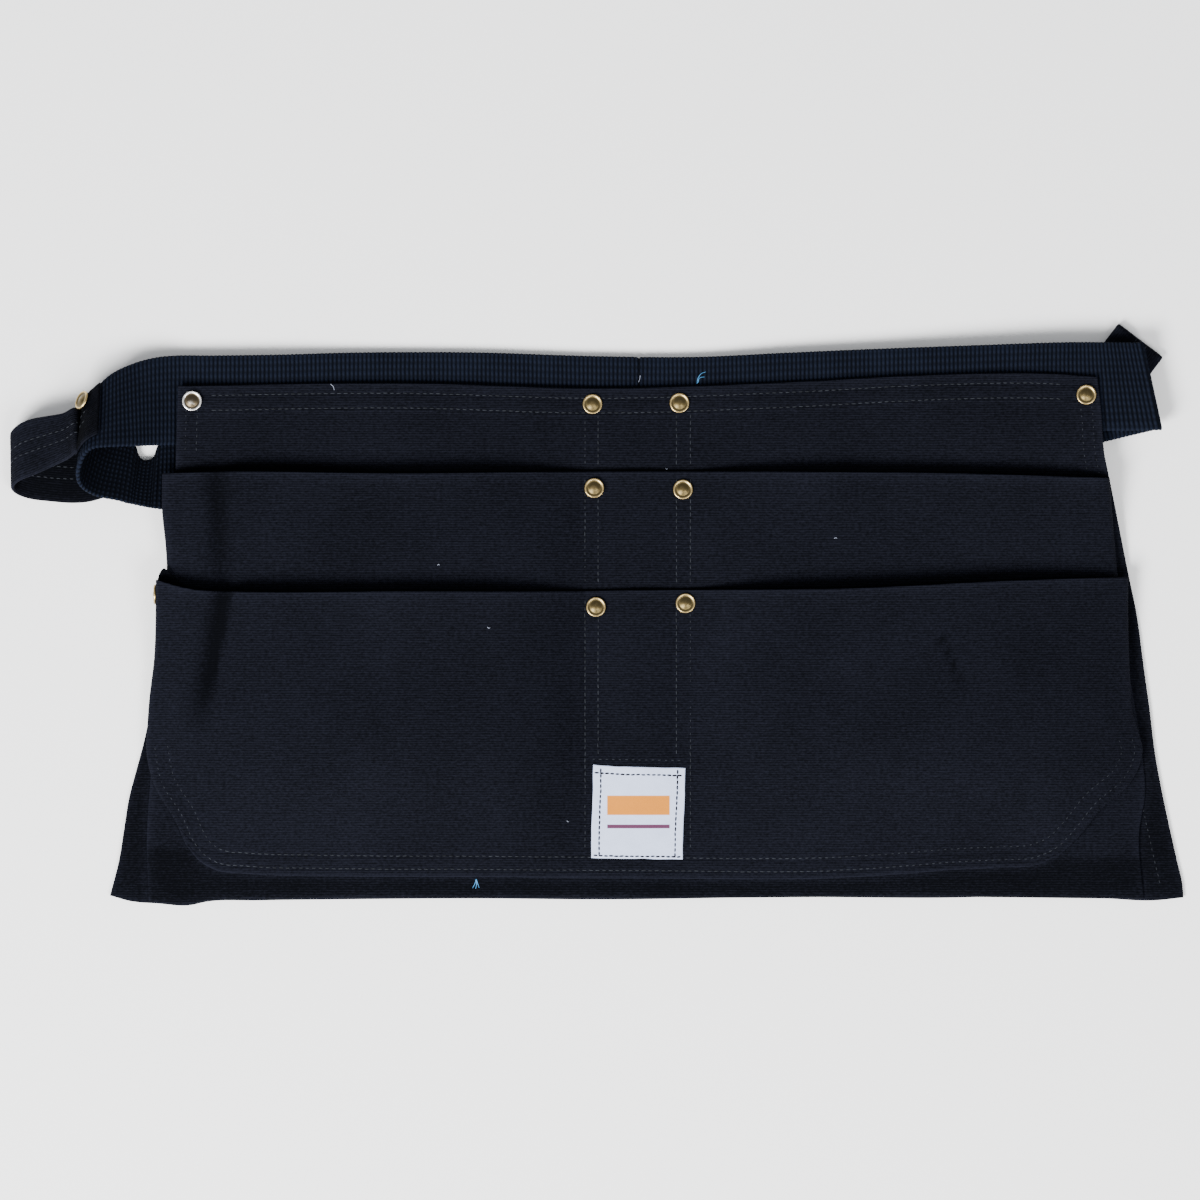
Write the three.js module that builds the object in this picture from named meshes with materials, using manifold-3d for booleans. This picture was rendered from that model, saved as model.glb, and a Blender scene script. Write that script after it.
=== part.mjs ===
// Carpenter nail apron, lying flat on its back: a duck panel on a heavy webbing belt, with two tiers of
// pockets, two hammer loops, a woven label and riveted corners.
// Millimetres. X runs along the belt, Y from the hem to the belt, Z up from the surface it lies on.
import * as THREE from 'three';
import { mergeVertices } from 'three/addons/utils/BufferGeometryUtils.js';
import Module from 'manifold-3d';

const wasm = await Module();
wasm.setup();

// Back panel
const TOP_WIDTH = 460;
const LEFT_FLARE = 34.5;
const RIGHT_FLARE = 43.5;
const APRON_HEIGHT = 256;
const CLOTH = 1.2;

// Pockets: each is measured from its own bottom seam to its mouth
const UPPER_WIDTH = 500;
const UPPER_HEIGHT = 210;
const UPPER_SEAM = 2.5;
const UPPER_LOFT = 7.5;
const LOWER_WIDTH = 498;
const LOWER_HEIGHT = 144.5;
const LOWER_SEAM = 9.5;
const LOWER_LOFT = 8.5;
const POCKET_SHIFT = 3.5;
const CENTRE_SLOT_WIDTH = 53;
const CENTRE_SLOT_SHIFT = 0.5;
const CENTRE_SLOT_LOFT = 1.4;
const SIDE_WALL_DEPTH = 10;
// Shares of a pocket's height: full loft from here up, and where the open side wall starts and ends rising
const LOFT_RISE = 0.45;
const SIDE_RISE = [0.55, 0.95];
const SIDE_WALL_FOOT = 0.6;

// Belt
const BELT_WIDTH = 45;
const BELT_THICKNESS = 2.4;
const BELT_RISE = 15.5;
const REAR_SAG = 53.5;
const RIGHT_REACH = 25.5;
const CREASE_RISE = 7.2;
const CREASE_LEAN = THREE.MathUtils.degToRad(11.4);
const TURN_REACH = 47;
const TURN_HEIGHT = 30;
// How far the right rear run bows: 0 is an even curve, more straightens it near the crease
const REAR_BOW = 0.77;

// Plain buckle where the belt closes, behind the panel
const BUCKLE_LENGTH = 60;
const BUCKLE_WIDTH = 56;
const BUCKLE_THICKNESS = 6;
const BUCKLE_OFFSET = 90;
const BUCKLE_CORNER = 6;
const SOCKET_DEPTH = 14;
const SOCKET_CLEAR = 1;
const SOCKET_LEAD = 7;

// Hammer loops
const STRAP_WIDTH = 28;
const STRAP_THICKNESS = 2;
const LEFT_LOOP_REACH = 36;
const LEFT_LOOP_DROP = 18;
const RIGHT_LOOP_LENGTH = 52;
const RIGHT_LOOP_INSET = 5;
const RIGHT_LOOP_RISE = 21.15;
const RIGHT_LOOP_TURN = THREE.MathUtils.degToRad(53);
// Where the left strap is seated on the belt's turn: steps past the turn's start, and its edges' places
// as shares of the belt's width there
const STRAP_SEATS = [11, 13, 15, 17];
const STRAP_SEAT_TOP = 0.98;
const STRAP_SEAT_SPAN = 0.94;
const STRAP_RIVET_UP = 0.86;

// Label
const LABEL_SIDE = 46;
const LABEL_THICKNESS = 0.7;
const LABEL_RISE = 10;

// Rivets
const CAP_RADIUS = 5;
const CAP_HEIGHT = 1.7;
const SHANK_RADIUS = 1.6;
const BURR_RADIUS = 3.4;
const BURR_THICKNESS = 0.8;
const RIVET_SPACING = 43.5;
const RIVET_SHIFT = 1;
const RIVET_INSET = 7;
const RIVET_DROP = 8;
const SIDE_RIVET_DROP = 2.2;
const RIVET_SIDES = 12;

// Clearances
const PLY_GAP = 0.4;
const SEAT_GAP = 0.3;
const HOLE_GAP = 0.3;
const FLOOR_GAP = 0.1;
const DRAPE_GAP = 0.6;
const BURR_ROOM = BURR_THICKNESS + 2 * SEAT_GAP + PLY_GAP;

// Cutting prisms reach past every layer
const CUT_LOW = -TURN_HEIGHT;
const CUT_HIGH = APRON_HEIGHT;

const DUCK = { color: 0x171a21, roughness: 0.92, metalness: 0 };
const WEBBING = { color: 0x101a27, roughness: 0.85, metalness: 0 };
const BRASS = { color: 0x7d6a4c, roughness: 0.38, metalness: 0.9 };
const WOVEN = { color: 0xd9dfee, roughness: 0.8, metalness: 0 };
const MOULDED = { color: 0x0c0d10, roughness: 0.5, metalness: 0 };

// Outline of the panel: up is a share of the height, left and right are shares of each side's flare
const PANEL_SIDES = [
  { up: 0, left: 1, right: 1 },
  { up: 0.07, left: 0.87, right: 0.93 },
  { up: 0.2, left: 0.72, right: 0.77 },
  { up: 0.36, left: 0.45, right: 0.62 },
  { up: 0.54, left: 0.25, right: 0.48 },
  { up: 0.73, left: 0.1, right: 0.25 },
  { up: 0.87, left: 0.03, right: 0.08 },
  { up: 1, left: 0, right: 0 },
];
// Waist edge and hem: across is a share of the half width, rise a share of the height
const WAIST_EDGE = [
  { across: -1, rise: 0 },
  { across: -0.52, rise: 0.006 },
  { across: -0.07, rise: -0.004 },
  { across: 0.35, rise: 0.009 },
  { across: 0.64, rise: 0.022 },
  { across: 0.91, rise: 0.024 },
  { across: 1, rise: 0.018 },
];
const HEM_EDGE = [
  { across: -1, rise: 0.004 },
  { across: -0.84, rise: -0.015 },
  { across: -0.4, rise: -0.004 },
  { across: 0.3, rise: 0 },
  { across: 0.9, rise: -0.004 },
  { across: 1, rise: 0 },
];
// Pockets: across is a share of the half width, up a share of the pocket's height
const UPPER_LEFT = [
  { across: -0.994, up: 0 },
  { across: -0.998, up: 0.13 },
  { across: -0.99, up: 0.28 },
  { across: -0.974, up: 0.56 },
  { across: -0.957, up: 0.79 },
  { across: -0.965, up: 1 },
];
const UPPER_MOUTH = [
  { across: -0.965, up: 1 },
  { across: -0.49, up: 1 },
  { across: 0.2, up: 1.004 },
  { across: 0.61, up: 0.998 },
  { across: 0.928, up: 0.988 },
];
const UPPER_RIGHT = [
  { across: 0.928, up: 0.988 },
  { across: 0.945, up: 0.75 },
  { across: 0.97, up: 0.51 },
  { across: 0.996, up: 0.33 },
  { across: 1.002, up: 0.24 },
  { across: 0.99, up: 0.15 },
  { across: 1, up: 0 },
];
const LOWER_LEFT = [
  { across: -0.72, up: 0.006 },
  { across: -0.864, up: 0.028 },
  { across: -0.896, up: 0.062 },
  { across: -0.94, up: 0.197 },
  { across: -0.984, up: 0.325 },
  { across: -1, up: 0.467 },
  { across: -0.988, up: 0.74 },
  { across: -0.979, up: 1.035 },
];
const LOWER_MOUTH = [
  { across: -0.979, up: 1.035 },
  { across: -0.936, up: 1.012 },
  { across: -0.85, up: 0.998 },
  { across: -0.03, up: 0.998 },
  { across: 0.51, up: 1.013 },
  { across: 0.82, up: 1.037 },
  { across: 0.97, up: 1.045 },
];
const LOWER_RIGHT = [
  { across: 0.97, up: 1.045 },
  { across: 0.972, up: 0.8 },
  { across: 0.981, up: 0.57 },
  { across: 1, up: 0.446 },
  { across: 0.976, up: 0.336 },
  { across: 0.9, up: 0.2 },
  { across: 0.834, up: 0.083 },
  { across: 0.813, up: 0.055 },
  { across: 0.62, up: 0.028 },
  { across: 0.39, up: 0 },
];

// The belt's front run: along is a share of the panel's half width, rise a share of the belt's width,
// lift a share of the height of the layers stacked at the right end
const FRONT_RUN = [
  { along: 0.93, rise: 0.145, lift: 1 },
  { along: 0.72, rise: 0.11, lift: 0.8 },
  { along: 0.5, rise: 0.07, lift: 0.5 },
  { along: 0.32, rise: 0.03, lift: 0.36 },
  { along: 0.12, rise: -0.015, lift: 0.08 },
  { along: -0.1, rise: -0.005, lift: 0 },
  { along: -0.35, rise: 0.035, lift: 0 },
  { along: -0.6, rise: 0.035, lift: 0.1 },
  { along: -0.78, rise: 0.01, lift: 0.35 },
  { along: -0.93, rise: 0, lift: 0.42 },
];
// The right rear run: along is the share of the way from the crease to the buckle
const REAR_RUN = [
  { along: 0.1, lift: 1 },
  { along: 0.22, lift: 1 },
  { along: 0.33, lift: 0.4 },
  { along: 0.45, lift: 0 },
  { along: 0.6, lift: 0 },
  { along: 0.75, lift: 0 },
  { along: 0.84, lift: 0 },
];
// The soft turn at the left end: out is a share of the turn's reach from the panel's corner, drop a share
// of the belt's width below its top edge, lift a share of the turn's height, for each of the two edges
const TURN = [
  { out: [0, 0], drop: [0, 1], lift: [0.2, 0.23] },
  { out: [0.27, 0.26], drop: [0.03, 1.01], lift: [0.29, 0.42] },
  { out: [0.52, 0.48], drop: [0.11, 1.02], lift: [0.4, 0.65] },
  { out: [0.72, 0.72], drop: [0.22, 1.03], lift: [0.48, 0.87] },
  { out: [0.86, 0.88], drop: [0.37, 1.05], lift: [0.48, 1] },
  { out: [0.94, 0.98], drop: [0.51, 1.13], lift: [0.37, 1] },
  { out: [0.96, 1.05], drop: [0.64, 1.32], lift: [0.23, 0.87] },
  { out: [0.88, 1.02], drop: [0.78, 1.47], lift: [0.14, 0.71] },
  { out: [0.72, 0.87], drop: [0.91, 1.57], lift: [0.08, 0.56] },
  { out: [0.55, 0.64], drop: [1.01, 1.62], lift: [0.06, 0.47] },
  { out: [0.34, 0.39], drop: [1.14, 1.68], lift: [0.06, 0.43] },
  { out: [0.1, 0.1], drop: [1.03, 1.73], lift: [0.06, 0.27] },
  { out: [-0.21, -0.24], drop: [0.91, 1.79], lift: [0.06, 0.11] },
];
const LEFT_REAR_RUN = [0.82, 0.62, 0.42];

// Left hammer loop past its seat on the belt: out is a share of its reach, drop and lift shares of the
// strap's width, for each edge
const LEFT_LOOP = [
  { out: [0.12, 0.08], drop: [0.3, 1.1], lift: [0.53, 0.88] },
  { out: [0.28, 0.2], drop: [0.4, 1.22], lift: [0.48, 0.68] },
  { out: [0.5, 0.4], drop: [0.45, 1.34], lift: [0.45, 0.52] },
  { out: [0.72, 0.68], drop: [0.5, 1.5], lift: [0.42, 0.43] },
  { out: [0.88, 0.88], drop: [0.58, 1.6], lift: [0.37, 0.38] },
  { out: [0.99, 0.98], drop: [0.7, 1.7], lift: [0.28, 0.28] },
  { out: [1, 0.99], drop: [0.8, 1.78], lift: [0.17, 0.17] },
  { out: [0.93, 0.92], drop: [0.88, 1.86], lift: [0.07, 0.07] },
  { out: [0.75, 0.75], drop: [0.94, 1.93], lift: [0.04, 0.04] },
  { out: [0.5, 0.5], drop: [0.98, 1.97], lift: [0.04, 0.04] },
  { out: [0.2, 0.2], drop: [1, 2], lift: [0.04, 0.04] },
  { out: [-0.05, -0.05], drop: [1, 1.98], lift: [0.04, 0.04] },
  { out: [-0.28, -0.28], drop: [0.96, 1.9], lift: [0.04, 0.04] },
];

const group = new THREE.Group();

function addMesh(name, geometry, finish) {
  const mesh = new THREE.Mesh(geometry, new THREE.MeshStandardMaterial(finish));
  mesh.name = name;
  group.add(mesh);
  return mesh;
}

function smooth(low, high, value) {
  return THREE.MathUtils.smoothstep(value, low, high);
}

// Solids and triangles

function toManifold(geometry) {
  const plain = geometry.clone();
  plain.deleteAttribute('normal');
  plain.deleteAttribute('uv');
  const merged = mergeVertices(plain, 1e-4);
  return new wasm.Manifold(new wasm.Mesh({
    numProp: 3,
    vertProperties: new Float32Array(merged.attributes.position.array),
    triVerts: new Uint32Array(merged.index.array),
  }));
}

function toGeometry(manifold) {
  const mesh = manifold.getMesh();
  const geometry = new THREE.BufferGeometry();
  geometry.setAttribute('position', new THREE.BufferAttribute(new Float32Array(mesh.vertProperties), 3));
  geometry.setIndex(new THREE.BufferAttribute(new Uint32Array(mesh.triVerts), 1));
  geometry.computeVertexNormals();
  return geometry;
}

function indexedGeometry(points, triangles) {
  const geometry = new THREE.BufferGeometry();
  const places = points.flatMap((point) => point.toArray());
  geometry.setAttribute('position', new THREE.Float32BufferAttribute(places, 3));
  geometry.setIndex(triangles);
  geometry.computeVertexNormals();
  return geometry;
}

// A closed sheet between two grids of points of the same size
function closedSheet(under, over) {
  const rows = under.length;
  const columns = under[0].length;
  const points = [...under.flat(), ...over.flat()];
  const top = rows * columns;
  const at = (row, column, side) => row * columns + column + side * top;
  const triangles = [];
  const quad = (a, b, c, d) => triangles.push(a, b, c, a, c, d);
  for (let r = 0; r + 1 < rows; r += 1) {
    for (let c = 0; c + 1 < columns; c += 1) {
      quad(at(r, c, 1), at(r, c + 1, 1), at(r + 1, c + 1, 1), at(r + 1, c, 1));
      quad(at(r, c, 0), at(r + 1, c, 0), at(r + 1, c + 1, 0), at(r, c + 1, 0));
    }
  }
  const edge = (r0, c0, r1, c1) => quad(at(r0, c0, 0), at(r1, c1, 0), at(r1, c1, 1), at(r0, c0, 1));
  for (let c = 0; c + 1 < columns; c += 1) {
    edge(0, c, 0, c + 1);
    edge(rows - 1, c + 1, rows - 1, c);
  }
  for (let r = 0; r + 1 < rows; r += 1) {
    edge(r + 1, 0, r, 0);
    edge(r, columns - 1, r + 1, columns - 1);
  }
  return indexedGeometry(points, triangles);
}

function prism(outline, low, high) {
  const settings = { depth: high - low, bevelEnabled: false };
  const geometry = new THREE.ExtrudeGeometry(new THREE.Shape(outline), settings);
  geometry.translate(0, 0, low);
  return toManifold(geometry);
}

// Strips of webbing and strap: pairs of edge points, joined smoothly, with a thickness

// Catmull-Rom curve from b to c, with a and d as the points before and after
function between(a, b, c, d, share) {
  const first = (c - a) * share;
  const second = (2 * a - 5 * b + 4 * c - d) * share ** 2;
  const third = (3 * b - a - 3 * c + d) * share ** 3;
  return b + (first + second + third) / 2;
}

function smoothPoint(points, index, share) {
  const pick = (offset) => points[THREE.MathUtils.clamp(index + offset, 0, points.length - 1)];
  const [a, b, c, d] = [pick(-1), pick(0), pick(1), pick(2)];
  return new THREE.Vector3(
    between(a.x, b.x, c.x, d.x, share),
    between(a.y, b.y, c.y, d.y, share),
    between(a.z, b.z, c.z, d.z, share),
  );
}

function refine(stations, steps) {
  const fine = [];
  for (let i = 0; i + 1 < stations.length; i += 1) {
    for (let step = 0; step < steps; step += 1) {
      fine.push({
        upper: smoothPoint(stations.map((s) => s.upper), i, step / steps),
        lower: smoothPoint(stations.map((s) => s.lower), i, step / steps),
      });
    }
  }
  fine.push(stations[stations.length - 1]);
  return fine;
}

function stationNormal(stations, index) {
  const before = stations[Math.max(index - 1, 0)];
  const after = stations[Math.min(index + 1, stations.length - 1)];
  const along = after.upper.clone().add(after.lower).sub(before.upper).sub(before.lower);
  const across = stations[index].upper.clone().sub(stations[index].lower);
  return along.cross(across).normalize();
}

// A point at a share of the way from the lower to the upper edge, moved off along the outward side
function stripPoint(stations, index, share, off) {
  const { upper, lower } = stations[index];
  return lower.clone().lerp(upper, share).addScaledVector(stationNormal(stations, index), off);
}

function strip(stations, thickness, cells) {
  const grid = (off) => stations.map((_, index) => Array.from(
    { length: cells + 1 },
    (__, cell) => stripPoint(stations, index, cell / cells, off),
  ));
  return closedSheet(grid(thickness / 2), grid(-thickness / 2));
}

// Belt

const HALF_TOP = TOP_WIDTH / 2;
const FRONT_CENTRE = APRON_HEIGHT + BELT_RISE - BELT_WIDTH / 2;
const LOOP_STACK = 2 * STRAP_THICKNESS + 2 * PLY_GAP;
const FLOOR_LAYER = BELT_THICKNESS / 2;
const FRONT_LOW = FLOOR_LAYER + BURR_ROOM;
const REAR_RIGHT_HIGH = LOOP_STACK + FLOOR_LAYER;
const FRONT_RIGHT_HIGH = REAR_RIGHT_HIGH + BELT_THICKNESS + BURR_ROOM;
const CREASE = new THREE.Vector2(HALF_TOP + RIGHT_REACH, FRONT_CENTRE + CREASE_RISE);
const BUCKLE = new THREE.Vector3(-BUCKLE_OFFSET, FRONT_CENTRE - REAR_SAG, BUCKLE_THICKNESS / 2);

// A pair of edge points square to a heading, given as an angle from the X axis
function squareStation(x, y, z, heading, width) {
  const across = new THREE.Vector3(-Math.sin(heading), Math.cos(heading), 0).multiplyScalar(width / 2);
  const centre = new THREE.Vector3(x, y, z);
  return { upper: centre.clone().add(across), lower: centre.clone().sub(across) };
}

function rearRight(share) {
  const start = BUCKLE.x + BUCKLE_LENGTH / 2 - SOCKET_DEPTH + SEAT_GAP;
  const span = CREASE.x - start;
  const rise = CREASE.y - BUCKLE.y;
  const left = 1 - share;
  const bend = (1 + REAR_BOW) * left ** 2 - REAR_BOW * left ** 3;
  const slope = (2 * (1 + REAR_BOW) * left - 3 * REAR_BOW * left ** 2) * rise / span;
  return { x: start + span * left, y: BUCKLE.y + rise * bend, heading: Math.atan(slope) };
}

const CREASE_TURNS = [-90, -45, 0, 45, 90];

function creaseStations() {
  const radius = (FRONT_RIGHT_HIGH - REAR_RIGHT_HIGH) / 2;
  const middle = (FRONT_RIGHT_HIGH + REAR_RIGHT_HIGH) / 2;
  return CREASE_TURNS.map((degrees) => {
    const angle = THREE.MathUtils.degToRad(degrees);
    const out = radius * (Math.cos(angle) - 1);
    const x = CREASE.x + out * Math.cos(CREASE_LEAN);
    const y = CREASE.y + out * Math.sin(CREASE_LEAN);
    return squareStation(x, y, middle + radius * Math.sin(angle), CREASE_LEAN, BELT_WIDTH);
  });
}

function turnStation(row) {
  const edge = (side) => new THREE.Vector3(
    -HALF_TOP - row.out[side] * TURN_REACH,
    FRONT_CENTRE + BELT_WIDTH * (0.5 - row.drop[side]),
    Math.max(row.lift[side] * TURN_HEIGHT, FLOOR_LAYER + FLOOR_GAP),
  );
  return { upper: edge(0), lower: edge(1) };
}

// Straight stretch in a buckle socket: distances from the belt's end
const SOCKET_STRETCH = [0, SOCKET_DEPTH + SOCKET_CLEAR, SOCKET_DEPTH + SOCKET_LEAD];

function beltStations() {
  const right = rearRight(1);
  const inSocket = (x, y) => squareStation(x, y, BUCKLE.z, 0, BELT_WIDTH);
  const stations = SOCKET_STRETCH.map((distance) => inSocket(right.x + distance, right.y));
  for (const row of [...REAR_RUN].reverse()) {
    const place = rearRight(row.along);
    const z = FLOOR_LAYER + row.lift * LOOP_STACK;
    stations.push(squareStation(place.x, place.y, z, place.heading, BELT_WIDTH));
  }
  stations.push(...creaseStations());
  for (const row of FRONT_RUN) {
    const y = FRONT_CENTRE + row.rise * BELT_WIDTH;
    const z = FRONT_LOW + row.lift * (FRONT_RIGHT_HIGH - FRONT_LOW);
    stations.push(squareStation(row.along * HALF_TOP, y, z, 0, BELT_WIDTH));
  }
  stations.push(...TURN.map(turnStation));
  const last = stations[stations.length - 1];
  const from = last.upper.clone().add(last.lower).multiplyScalar(0.5);
  const end = BUCKLE.x - BUCKLE_LENGTH / 2 + SOCKET_DEPTH - SEAT_GAP;
  for (const share of LEFT_REAR_RUN) {
    const slope = 2 * share * (from.y - BUCKLE.y) / (end - from.x);
    const x = end + (from.x - end) * share;
    const y = BUCKLE.y + (from.y - BUCKLE.y) * share ** 2;
    stations.push(squareStation(x, y, FLOOR_LAYER, -slope, BELT_WIDTH));
  }
  for (const distance of [...SOCKET_STRETCH].reverse()) stations.push(inSocket(end - distance, BUCKLE.y));
  return stations;
}

const BELT_STEPS = 3;
const FRONT_START = SOCKET_STRETCH.length + REAR_RUN.length + CREASE_TURNS.length;
const TURN_START = FRONT_START + FRONT_RUN.length;
const belt = refine(beltStations(), BELT_STEPS);
for (const { upper, lower } of belt) {
  upper.z = Math.max(upper.z, FLOOR_LAYER);
  lower.z = Math.max(lower.z, FLOOR_LAYER);
}

// Hammer loops

function leftLoopStations() {
  // The strap's end lies on the belt's outer face where the belt starts to turn
  const off = -(BELT_THICKNESS + STRAP_THICKNESS) / 2 - PLY_GAP;
  const seats = STRAP_SEATS.map((step) => {
    const index = BELT_STEPS * TURN_START + step;
    const width = belt[index].upper.distanceTo(belt[index].lower);
    const strap = Math.min(STRAP_WIDTH / width, STRAP_SEAT_SPAN);
    return {
      upper: stripPoint(belt, index, STRAP_SEAT_TOP, off),
      lower: stripPoint(belt, index, STRAP_SEAT_TOP - strap, off),
    };
  });
  const start = -HALF_TOP - TURN_REACH;
  const level = FRONT_CENTRE + BELT_WIDTH / 2 - LEFT_LOOP_DROP;
  const free = LEFT_LOOP.map((row) => {
    const edge = (side) => new THREE.Vector3(
      start - row.out[side] * LEFT_LOOP_REACH,
      level - row.drop[side] * STRAP_WIDTH,
      Math.max(row.lift[side] * TURN_HEIGHT, STRAP_THICKNESS / 2 + FLOOR_GAP),
    );
    return { upper: edge(0), lower: edge(1) };
  });
  return [...seats, ...free];
}

function rightLoopStations() {
  // Pressed flat under the belt, its bend standing out past the belt's top edge
  const bend = new THREE.Vector2(CREASE.x - RIGHT_LOOP_INSET, CREASE.y + RIGHT_LOOP_RISE);
  const toEnds = new THREE.Vector2(-Math.cos(RIGHT_LOOP_TURN), -Math.sin(RIGHT_LOOP_TURN));
  const heading = RIGHT_LOOP_TURN - Math.PI;
  const low = STRAP_THICKNESS / 2 + FLOOR_GAP;
  const high = low + STRAP_THICKNESS + PLY_GAP;
  const radius = (high - low) / 2;
  const legs = [0.08, 0.25, 0.5, 0.75, 1];
  const stations = [];
  const place = (distance, z) => {
    const x = bend.x + toEnds.x * distance;
    const y = bend.y + toEnds.y * distance;
    stations.push(squareStation(x, y, z, heading, STRAP_WIDTH));
  };
  for (const share of [...legs].reverse()) place(share * RIGHT_LOOP_LENGTH, high);
  for (const degrees of [60, 20, -20, -60]) {
    const angle = THREE.MathUtils.degToRad(degrees);
    place(-radius * Math.cos(angle), low + radius + radius * Math.sin(angle));
  }
  for (const share of legs) place(share * RIGHT_LOOP_LENGTH, low);
  return stations;
}

// Lattice of heights that the panel and the pockets share, so that no layer cuts another

function breaks(stops) {
  const lines = [stops[0].at];
  for (let i = 1; i < stops.length; i += 1) {
    for (let step = 1; step <= stops[i].cells; step += 1) {
      lines.push(stops[i - 1].at + (stops[i].at - stops[i - 1].at) * step / stops[i].cells);
    }
  }
  return lines;
}

const LATTICE_MARGIN = 7;
const SLOT_LEFT = CENTRE_SLOT_SHIFT - CENTRE_SLOT_WIDTH / 2;
const SLOT_RIGHT = SLOT_LEFT + CENTRE_SLOT_WIDTH;
const SIDE_LEFT = POCKET_SHIFT - LOWER_WIDTH / 2;
const SIDE_RIGHT = POCKET_SHIFT + LOWER_WIDTH / 2;
const LEFT_END = Math.min(-HALF_TOP - LEFT_FLARE, POCKET_SHIFT - UPPER_WIDTH / 2) - LATTICE_MARGIN;
const RIGHT_END = Math.max(HALF_TOP + RIGHT_FLARE, POCKET_SHIFT + UPPER_WIDTH / 2) + LATTICE_MARGIN;
const columns = breaks([
  { at: LEFT_END },
  { at: SIDE_LEFT, cells: 2 },
  { at: SLOT_LEFT, cells: 11 },
  { at: SLOT_RIGHT, cells: 2 },
  { at: SIDE_RIGHT, cells: 11 },
  { at: RIGHT_END, cells: 2 },
]);
const rows = breaks([
  { at: -LATTICE_MARGIN },
  { at: LOWER_SEAM, cells: 1 },
  { at: LOWER_SEAM + LOWER_HEIGHT, cells: 8 },
  { at: APRON_HEIGHT + LATTICE_MARGIN, cells: 6 },
]);

function overLattice(height) {
  return rows.map((y, row) => columns.map((x, column) => height(x, y, row, column)));
}

// Height of a layer at any place, on the same triangles as its sheet
function heightAt(heights, x, y) {
  const column = THREE.MathUtils.clamp(columns.findIndex((line) => line > x) - 1, 0, columns.length - 2);
  const row = THREE.MathUtils.clamp(rows.findIndex((line) => line > y) - 1, 0, rows.length - 2);
  const u = (x - columns[column]) / (columns[column + 1] - columns[column]);
  const v = (y - rows[row]) / (rows[row + 1] - rows[row]);
  const corner = heights[row][column];
  const far = heights[row + 1][column + 1];
  const near = heights[row][column + 1];
  const side = heights[row + 1][column];
  if (u >= v) return corner + u * (near - corner) + v * (far - near);
  return corner + v * (side - corner) + u * (far - side);
}

function layer(under, over, outline) {
  const grid = (heights) => overLattice((x, y, row, column) => new THREE.Vector3(x, y, heights[row][column]));
  const sheet = toManifold(closedSheet(grid(under), grid(over)));
  return sheet.intersect(prism(outline, CUT_LOW, CUT_HIGH));
}

const raised = (heights, amount) => heights.map((line) => line.map((z) => z + amount));

// What the panel lies on: the belt, the buckle and the rivets' backs
function supports() {
  const points = [];
  for (const { upper, lower } of belt) {
    for (const share of [0, 0.25, 0.5, 0.75, 1]) {
      const point = lower.clone().lerp(upper, share);
      point.z += BELT_THICKNESS / 2 + DRAPE_GAP;
      if (Math.abs(point.x) < HALF_TOP + LATTICE_MARGIN) points.push(point);
    }
  }
  for (const across of [-0.5, 0, 0.5]) {
    for (const up of [-0.5, 0, 0.5]) {
      const x = BUCKLE.x + across * BUCKLE_LENGTH;
      points.push(new THREE.Vector3(x, BUCKLE.y + up * BUCKLE_WIDTH, BUCKLE_THICKNESS + DRAPE_GAP));
    }
  }
  return points;
}

// The cloth lies flat this far round a support, then falls over this ramp, and is eased this many times
const SUPPORT_FLAT = 9;
const SUPPORT_RAMP = 46;
const DRAPE_PASSES = 3;
const DRAPE_FLOOR = 0.25;

function drape(points) {
  let heights = overLattice((x, y) => points.reduce((highest, point) => {
    const distance = Math.hypot(point.x - x, point.y - y);
    const ramp = THREE.MathUtils.clamp((distance - SUPPORT_FLAT) / SUPPORT_RAMP, 0, 1);
    return Math.max(highest, point.z * (0.5 + 0.5 * Math.cos(Math.PI * ramp)));
  }, 0));
  for (let pass = 0; pass < DRAPE_PASSES; pass += 1) {
    const last = heights;
    heights = overLattice((x, y, row, column) => {
      const near = [[-1, 0], [1, 0], [0, -1], [0, 1]].map(([dr, dc]) => {
        const r = THREE.MathUtils.clamp(row + dr, 0, rows.length - 1);
        const c = THREE.MathUtils.clamp(column + dc, 0, columns.length - 1);
        return last[r][c];
      });
      return Math.max(last[row][column], (near[0] + near[1] + near[2] + near[3]) / 4);
    });
  }
  return heights.map((line) => line.map((z) => (z < DRAPE_FLOOR ? 0 : z)));
}

// Rivets: how many pockets each passes through, its way across from a corner or from the middle, and its
// drop below the top edge of the layer it is seated on, as a share of the usual drop
const RIVET_TABLE = [
  { name: 'rivet_corner_left', pockets: 0, from: -HALF_TOP, across: RIVET_INSET, drop: 0.94 },
  { name: 'rivet_corner_right', pockets: 0, from: HALF_TOP, across: -0.86 * RIVET_INSET, drop: 0.56 },
  { name: 'rivet_waist_left', pockets: 0, from: -RIVET_SHIFT, across: -0.5 * RIVET_SPACING, drop: 1.13 },
  { name: 'rivet_waist_right', pockets: 0, from: -RIVET_SHIFT, across: 0.5 * RIVET_SPACING, drop: 1.06 },
  { name: 'rivet_upper_left', pockets: 1, from: -RIVET_SHIFT, across: -0.48 * RIVET_SPACING, drop: 0.94 },
  { name: 'rivet_upper_right', pockets: 1, from: -RIVET_SHIFT, across: 0.54 * RIVET_SPACING, drop: 1.03 },
  { name: 'rivet_lower_left', pockets: 2, from: -RIVET_SHIFT, across: -0.46 * RIVET_SPACING, drop: 1.06 },
  { name: 'rivet_lower_right', pockets: 2, from: -RIVET_SHIFT, across: 0.57 * RIVET_SPACING, drop: 0.83 },
];
const LAYER_TOPS = [APRON_HEIGHT, UPPER_SEAM + UPPER_HEIGHT, LOWER_SEAM + LOWER_HEIGHT];
const RIVETS = RIVET_TABLE.map(({ name, pockets, from, across, drop }) => ({
  name,
  pockets,
  x: from + across,
  y: LAYER_TOPS[pockets] - drop * RIVET_DROP,
}));

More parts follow.
